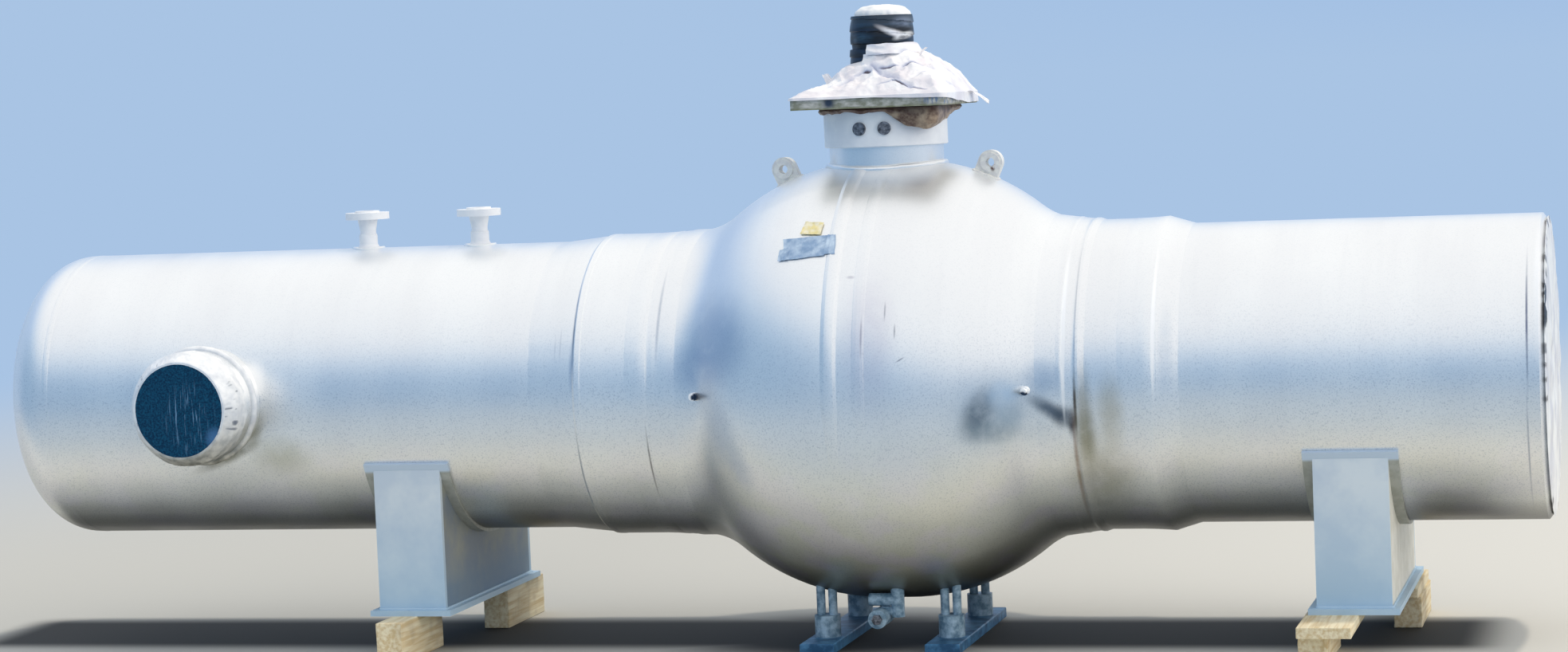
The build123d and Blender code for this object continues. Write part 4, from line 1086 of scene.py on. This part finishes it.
def underSkin(u, v):
    # v goes out along the underside of the plate, then down and back in to the bonnet
    turn = 2 * math.pi * u
    place = (math.degrees(turn) + 180) % 360 - 180
    if abs(place) > 90:
        edge = plateEdge(turn, underFilm["leftReach"], underFilm["leftCorner"])
    else:
        edge = plateEdge(turn, underFilm["reach"], underFilm["corner"])
    deep = underFilm["drop"] * (1 + 0.5 * rough(math.cos(turn), math.sin(turn), 0, 0.25))
    deep += underFilm["lobeDrop"] * between(underFilm["lobe"], place)
    profile = (
        (0.0, bonnetR + 0.006, 0.0015), (0.3, edge, 0.0015), (0.42, edge + 0.004, 0.35 * deep),
        (0.62, edge * 0.94 + bonnetR * 0.06, 0.75 * deep), (0.82, edge * 0.6 + bonnetR * 0.4, deep),
        (1.0, bonnetR + 0.004, deep * 0.86),
    )
    radius, drop = alongProfile(profile, v)
    x, y = radius * math.cos(turn), radius * math.sin(turn)
    soft = 0.005 * crumple(x, y, drop, 0.05) if v > 0.32 else 0.0
    return (valveX + x, y, plateLow.z - drop - max(soft, -drop * 0.5))


under = makeSheet("under_film", underSkin, (256, 36), 0.0009, made["kraftFilm"])
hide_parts("film_bag")
print("film under the flange made")


# Line end: a board behind film, bunched round the rim
endCover = {
    "radius": 0.522, "bulge": 0.010, "pull": 0.0035, "slack": 0.006, "gather": 0.006, "least": 0.0012,
    # Height of the middle of the painted shadow gap and half its length
    "shadowGap": (1.20, 0.11),
}


def coverSkin(u, v):
    # The film bulges in the middle and is gathered in ragged folds at the rim
    turn = 2 * math.pi * u
    radius = endCover["radius"] * v
    pull = math.cos(turn * 14 + 2.5 * rough(math.cos(turn), math.sin(turn), 0, 0.5))
    bulge = endCover["bulge"] * (1 - v ** 5)
    y, z = radius * math.cos(turn), radius * math.sin(turn)
    gather = crumple(math.cos(turn) * 0.5, math.sin(turn) * 0.5, v * 0.3, 0.045)
    lift = endCover["pull"] * pull * v ** 2 * (1 - v) * 4
    lift += endCover["slack"] * crumple(y, z, 0, 0.16) * (1 - v ** 6)
    lift += endCover["gather"] * gather * v ** 8 * (1 - v ** 40)
    middle, half = endCover["shadowGap"]
    # Near the rim the fourth value paints shade: a black patch for the gap behind the film, and dark dashes
    shadowGap = max(0.0, 1 - abs(axisZ + z - middle) / half) if y < 0 and v > 0.93 else 0.0
    dash = 0.75 if v > 0.95 and rough(turn, 0, 2, 0.09) > 0.25 else 0.0
    return (lineEndX + max(endCover["least"], bulge + lift), y, axisZ + z, max(min(1.0, shadowGap * 3), dash))


cover = makeSheet("end_film", coverSkin, (360, 72), 0.001, coverFilm, offset=-1.0)
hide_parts("line_end_cover")
print("line end film made")


# Tape patch and yellow tag on the valve body

def bodySurface(x, z, lift):
    # The ball's skin in front of the axis, from a place along the pipe and a height
    off = max(abs(x - valveX) - bandHalf, 0.0)
    inside = bodyR ** 2 - off ** 2
    y = -math.sqrt(max(inside - (z - axisZ) ** 2, 0.0))
    out = Vector((math.copysign(off, x - valveX), y, z - axisZ)).normalized()
    return Vector((x, y, z)) + out * lift


# How a patch stands off the body: wrinkles in its middle and lifted edges
patchCurl = {"middle": 0.0025, "edge": 0.03}


def patchSkin(corners, wave, seed, lift):
    (x0, z0), (x1, z1), (x2, z2), (x3, z3) = corners

    def place(u, v):
        x = (x0 * (1 - u) + x1 * u) * (1 - v) + (x3 * (1 - u) + x2 * u) * v
        z = (z0 * (1 - u) + z1 * u) * (1 - v) + (z3 * (1 - u) + z2 * u) * v
        x += wave * rough(u, v, seed, 0.3)
        z += wave * rough(v, u, seed, 0.3)
        edge = min(u, v, 1 - u, 1 - v)
        curl = lift + patchCurl["middle"] * max(0.0, crumple(u, v, seed, 0.5))
        curl += patchCurl["edge"] * max(0.0, 0.1 - edge) * max(0, rough(u, v, seed, 0.3))
        return bodySurface(x, z, curl)
    return place


patches = {
    # Finish, waviness of the edge, seed, lift off the body and the corners (place along the pipe, height)
    "tape_patch": ("greyTape", 0.002, 1.0, 0.0016,
                   ((0.262, 1.486), (0.440, 1.4985), (0.427, 1.431), (0.282, 1.4185))),
    "tape_flap": ("greyTape", 0.003, 4.0, 0.0030,
                  ((0.430, 1.498), (0.457, 1.498), (0.466, 1.434), (0.424, 1.433))),
    "tape_corner": ("greyTape", 0.002, 7.0, 0.0028,
                    ((0.2575, 1.450), (0.292, 1.458), (0.290, 1.418), (0.2545, 1.4135))),
    "yellow_tag": ("tagCard", 0.001, 9.0, 0.0022,
                   ((0.336, 1.544), (0.406, 1.540), (0.402, 1.500), (0.325, 1.503))),
}
for name, (finish, wave, seed, lift, corners) in patches.items():
    skin = patchSkin(corners, wave, seed, lift)
    makeSheet(name, skin, (28, 16), 0.0014, made[finish], smooth=40, wrap=False)
print("patch and tag made")


# Squared timbers and boards: sawn blocks with worn edges and uneven ends

# The worn edge, and how uneven the sides and the ends are
sawnLook = {"worn": 0.003, "sides": 0.0016, "ends": 0.003}
timberSets = {
    # Width, length and height of each block, and the name of the sawn pair
    "left_timbers": (0.100, 0.420, 0.150, "left_sawn_timbers"),
    "right_timbers": (0.100, 0.420, 0.112, "right_sawn_timbers"),
    "right_boards": (0.184, 0.470, 0.038, "right_sawn_boards"),
}
for name, (wide, long, high, sawnName) in timberSets.items():
    low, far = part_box(name)
    blocks = []
    for x, y in ((low.x + wide / 2, low.y + long / 2), (far.x - wide / 2, far.y - long / 2)):
        pickNone()
        middle = (x, y, low.z + high / 2)
        bpy.ops.mesh.primitive_cube_add(size=1.0, location=middle, scale=(wide, long, high))
        block = bpy.context.object
        bpy.ops.object.transform_apply(location=True, rotation=True, scale=True)
        bpy.ops.object.mode_set(mode="EDIT")
        bpy.ops.mesh.select_all(action="SELECT")
        bpy.ops.mesh.bevel(offset=sawnLook["worn"], segments=2, affect="EDGES")
        bpy.ops.mesh.select_all(action="SELECT")
        bpy.ops.mesh.subdivide(number_cuts=6)
        bpy.ops.object.mode_set(mode="OBJECT")
        bottom, top = low.z + 0.0005, low.z + high - 0.0005

        def worn(p, y=y, bottom=bottom, top=top, long=long):
            # Faces stay flat where the timber is loaded; sides and ends are uneven
            side = sawnLook["sides"] * rough(p.x, p.y * 0.2, p.z, 0.02) if bottom < p.z < top else 0.0
            nearEnd = abs(abs(p.y - y) - long / 2) < 0.004
            end = sawnLook["ends"] * rough(p.x * 3, p.y, p.z, 0.03) if nearEnd else 0.0
            return Vector((p.x + side, p.y + end, p.z))

        movePoints(block, worn)
        blocks.append(block)
    pair = joinPieces(blocks)
    finishPiece(pair, sawnName, sawnTimber, 30)
    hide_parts(name)
print("timbers made")


# Floor, light and camera

# The floor runs into haze that glows, a backdrop for the metal to mirror; the haze is deeper blue on the
# camera's side, where only the metal sees it
floorLook = {
    "left": "#BAB9B3", "right": "#CFCDC6", "haze": "#A9C4E4", "deepHaze": "#759FC6", "shade": "#2B2A27",
    # Painted light and a painted sky reflection on the floor by the pipe
    "paintedSunlit": "#DAD6CA", "paintedSkySheen": "#A6B0B6",
    "fadeFrom": 3.5, "fadeTo": 16.0, "nearFade": 1.2, "nearFadeTo": 11.0,
}
floorMaterial, add, shader, where = startMaterial("pale studio floor")
along = add("SeparateXYZ", {0: where}, "X")
across = add("SeparateXYZ", {0: where}, "Y")
away = add("VectorMath", {"operation": "LENGTH", 0: where})
rightward = add("MapRange", {0: along, 1: -1.5, 2: 3.0})
colour = add("Mix", {0: rightward, 6: floorLook["left"], 7: floorLook["right"]})
# Painted light: paler just in front of the pipe; and a painted sky reflection, a cool grey further towards
# the camera, where only the metal sees it
paintedSunlit = add("MapRange", {0: across, 1: -0.40, 2: -0.56})
colour = add("Mix", {0: paintedSunlit, 6: colour, 7: floorLook["paintedSunlit"]})
paintedSkySheen = add("MapRange", {0: across, 1: -0.85, 2: -1.7})
colour = add("Mix", {0: paintedSkySheen, 6: colour, 7: floorLook["paintedSkySheen"]})
# Painted shadow: the ground darkened in the object's own shadow, a long strip under the pipe and an oval
# under the ball
shifted = add("Mapping", {"Location": (0.24, -0.03, 0.0), "Vector": where})
off = add("VectorMath", {"operation": "ABSOLUTE", 0: shifted})
offAlong = add("SeparateXYZ", {0: off}, "X")
offAcross = add("SeparateXYZ", {0: off}, "Y")
stripEnds = add("MapRange", {"interpolation_type": "SMOOTHSTEP", 0: offAlong, 1: 2.98, 2: 2.76})
stripSides = add("MapRange", {"interpolation_type": "SMOOTHSTEP", 0: offAcross, 1: 0.42, 2: 0.22})
strip = add("Math", {"operation": "MULTIPLY", 0: stripEnds, 1: stripSides})
oval = patchMask(add, where, (valveX - 0.22, -0.02, 0.0), (0.88, 0.66, 1.0), 0.4)
paintedShadow = add("Math", {"operation": "MAXIMUM", 0: strip, 1: oval})
colour = add("Mix", {0: paintedShadow, 6: colour, 7: floorLook["shade"]})
setSockets(shader, {"Base Color": colour, "Roughness": 0.85})
cameraSide = add("MapRange", {"interpolation_type": "SMOOTHSTEP", 0: across, 1: 0.5, 2: -1.8})
hazeColour = add("Mix", {0: cameraSide, 6: floorLook["haze"], 7: floorLook["deepHaze"]})
haze = add("Emission", {"Strength": 1.0, "Color": hazeColour})
fadeStart = add("MapRange", {0: cameraSide, 3: floorLook["fadeFrom"], 4: floorLook["nearFade"]})
fadeEnd = add("MapRange", {0: cameraSide, 3: floorLook["fadeTo"], 4: floorLook["nearFadeTo"]})
fade = add("MapRange", {"interpolation_type": "SMOOTHSTEP", 0: away, 1: fadeStart, 2: fadeEnd})
joined = add("MixShader", {0: fade, 1: shader.outputs[0], 2: haze})
setSockets(floorMaterial.node_tree.nodes["Material Output"], {"Surface": joined})
pickNone()
bpy.ops.mesh.primitive_circle_add(vertices=96, radius=120.0, fill_type="NGON", location=(0, 0, -0.0005))
floor = bpy.context.object
floor.name = "studio_floor"
floor.data.materials.append(floorMaterial)
bpy.ops.object.transform_apply(location=True, rotation=True, scale=True)

# Sky: the same haze at the horizon and white above, whiter on the right, deeper blue on the camera's side
skyLook = {
    "pale": (
        (0.0, floorLook["haze"]), (1.0, "#FFFFFF"), (0.50, floorLook["haze"]), (0.53, "#93B6E4"),
        (0.58, "#93BBEC"), (0.64, "#C2DAF6"), (0.70, "#ECF2FA"), (0.76, "#FCFDFE"),
    ),
    "deep": (
        (0.0, floorLook["deepHaze"]), (1.0, "#FFFFFF"), (0.50, floorLook["deepHaze"]), (0.54, "#75A5D2"),
        (0.595, "#A2C6E8"), (0.65, "#DCEAF9"), (0.71, "#F8FAFD"),
    ),
    # Full strength for what looks straight at it or mirrors it, and softer as light on dull surfaces
    "lean": 0.40, "shown": 1.0, "asLight": 0.94,
}
world = bpy.data.worlds.new("studio sky")
bpy.context.scene.world = world
world.use_nodes = True
add = partial(addNode, world.node_tree)
direction = add("TexCoord", {}, "Generated")
upward = add("SeparateXYZ", {0: direction}, "Z")
sideways = add("SeparateXYZ", {0: direction}, "X")
overGround = add("MapRange", {0: upward, 1: 0.0, 2: 0.12})
tilt = add("Math", {"operation": "MULTIPLY", 0: sideways, 1: overGround})
height = add("Math", {"operation": "MULTIPLY_ADD", 0: tilt, 1: skyLook["lean"], 2: upward})
share = add("MapRange", {0: height, 1: -1.0, 2: 1.0})
frontward = add("SeparateXYZ", {0: direction}, "Y")
cameraSide = add("MapRange", {"interpolation_type": "SMOOTHSTEP", 0: frontward, 1: 0.15, 2: -0.25})
paleSky = add("ValToRGB", {"stops": skyLook["pale"], 0: share})
deepSky = add("ValToRGB", {"stops": skyLook["deep"], 0: share})
sky = add("Mix", {0: cameraSide, 6: paleSky, 7: deepSky})
soft = add("LightPath", {}, "Is Diffuse Ray")
level = add("MapRange", {0: soft, 3: skyLook["shown"], 4: skyLook["asLight"]})
setSockets(world.node_tree.nodes["Background"], {"Color": sky, "Strength": level})

# One soft sun, nearly overhead, from the right and a little behind, and a broad glow low on the right
sunLook = {
    "sun_lamp": {"towards": (0.24, 0.15, 0.96), "strength": 1.25, "angle": 4.0, "tint": "#FFF4E2"},
    "side_glow": {"towards": (0.90, -0.32, 0.28), "strength": 0.7, "angle": 40.0, "tint": "#FFF6EC"},
}
for name, look in sunLook.items():
    pickNone()
    bpy.ops.object.light_add(type="SUN", location=(2.0, 1.5, 8.0))
    lamp = bpy.context.object
    lamp.name = name
    lamp.data.energy = look["strength"]
    lamp.data.angle = math.radians(look["angle"])
    lamp.data.color = hexColour(look["tint"])[:3]
    lamp.rotation_mode = "QUATERNION"
    lamp.rotation_quaternion = (-Vector(look["towards"])).to_track_quat("-Z", "Y")
    lamp.visible_glossy = False

cameraSetting = {
    "place": (3.42694, -12.41256, 2.03567), "yaw": 0.2616, "pitch": -0.0692, "roll": -0.0419, "lens": 80.43,
}
yaw, pitch, roll = (cameraSetting[key] for key in ("yaw", "pitch", "roll"))
ahead = Vector((-math.sin(yaw) * math.cos(pitch), math.cos(yaw) * math.cos(pitch), math.sin(pitch)))
level = Vector((math.cos(yaw), math.sin(yaw), 0))
upward = level.cross(ahead)
sideAxis = math.cos(roll) * level + math.sin(roll) * upward
upAxis = -math.sin(roll) * level + math.cos(roll) * upward
bpy.ops.object.camera_add(location=cameraSetting["place"])
camera = bpy.context.object
camera.matrix_world = Matrix.Translation(cameraSetting["place"]) @ Matrix(
    (sideAxis, upAxis, -ahead)).transposed().to_4x4()
camera.data.sensor_fit = "HORIZONTAL"
camera.data.sensor_width = 36.0
camera.data.lens = cameraSetting["lens"]
camera.data.clip_end = 300.0
bpy.context.scene.camera = camera
bpy.context.scene.view_settings.view_transform = "Standard"
print("floor, lamps and camera made")
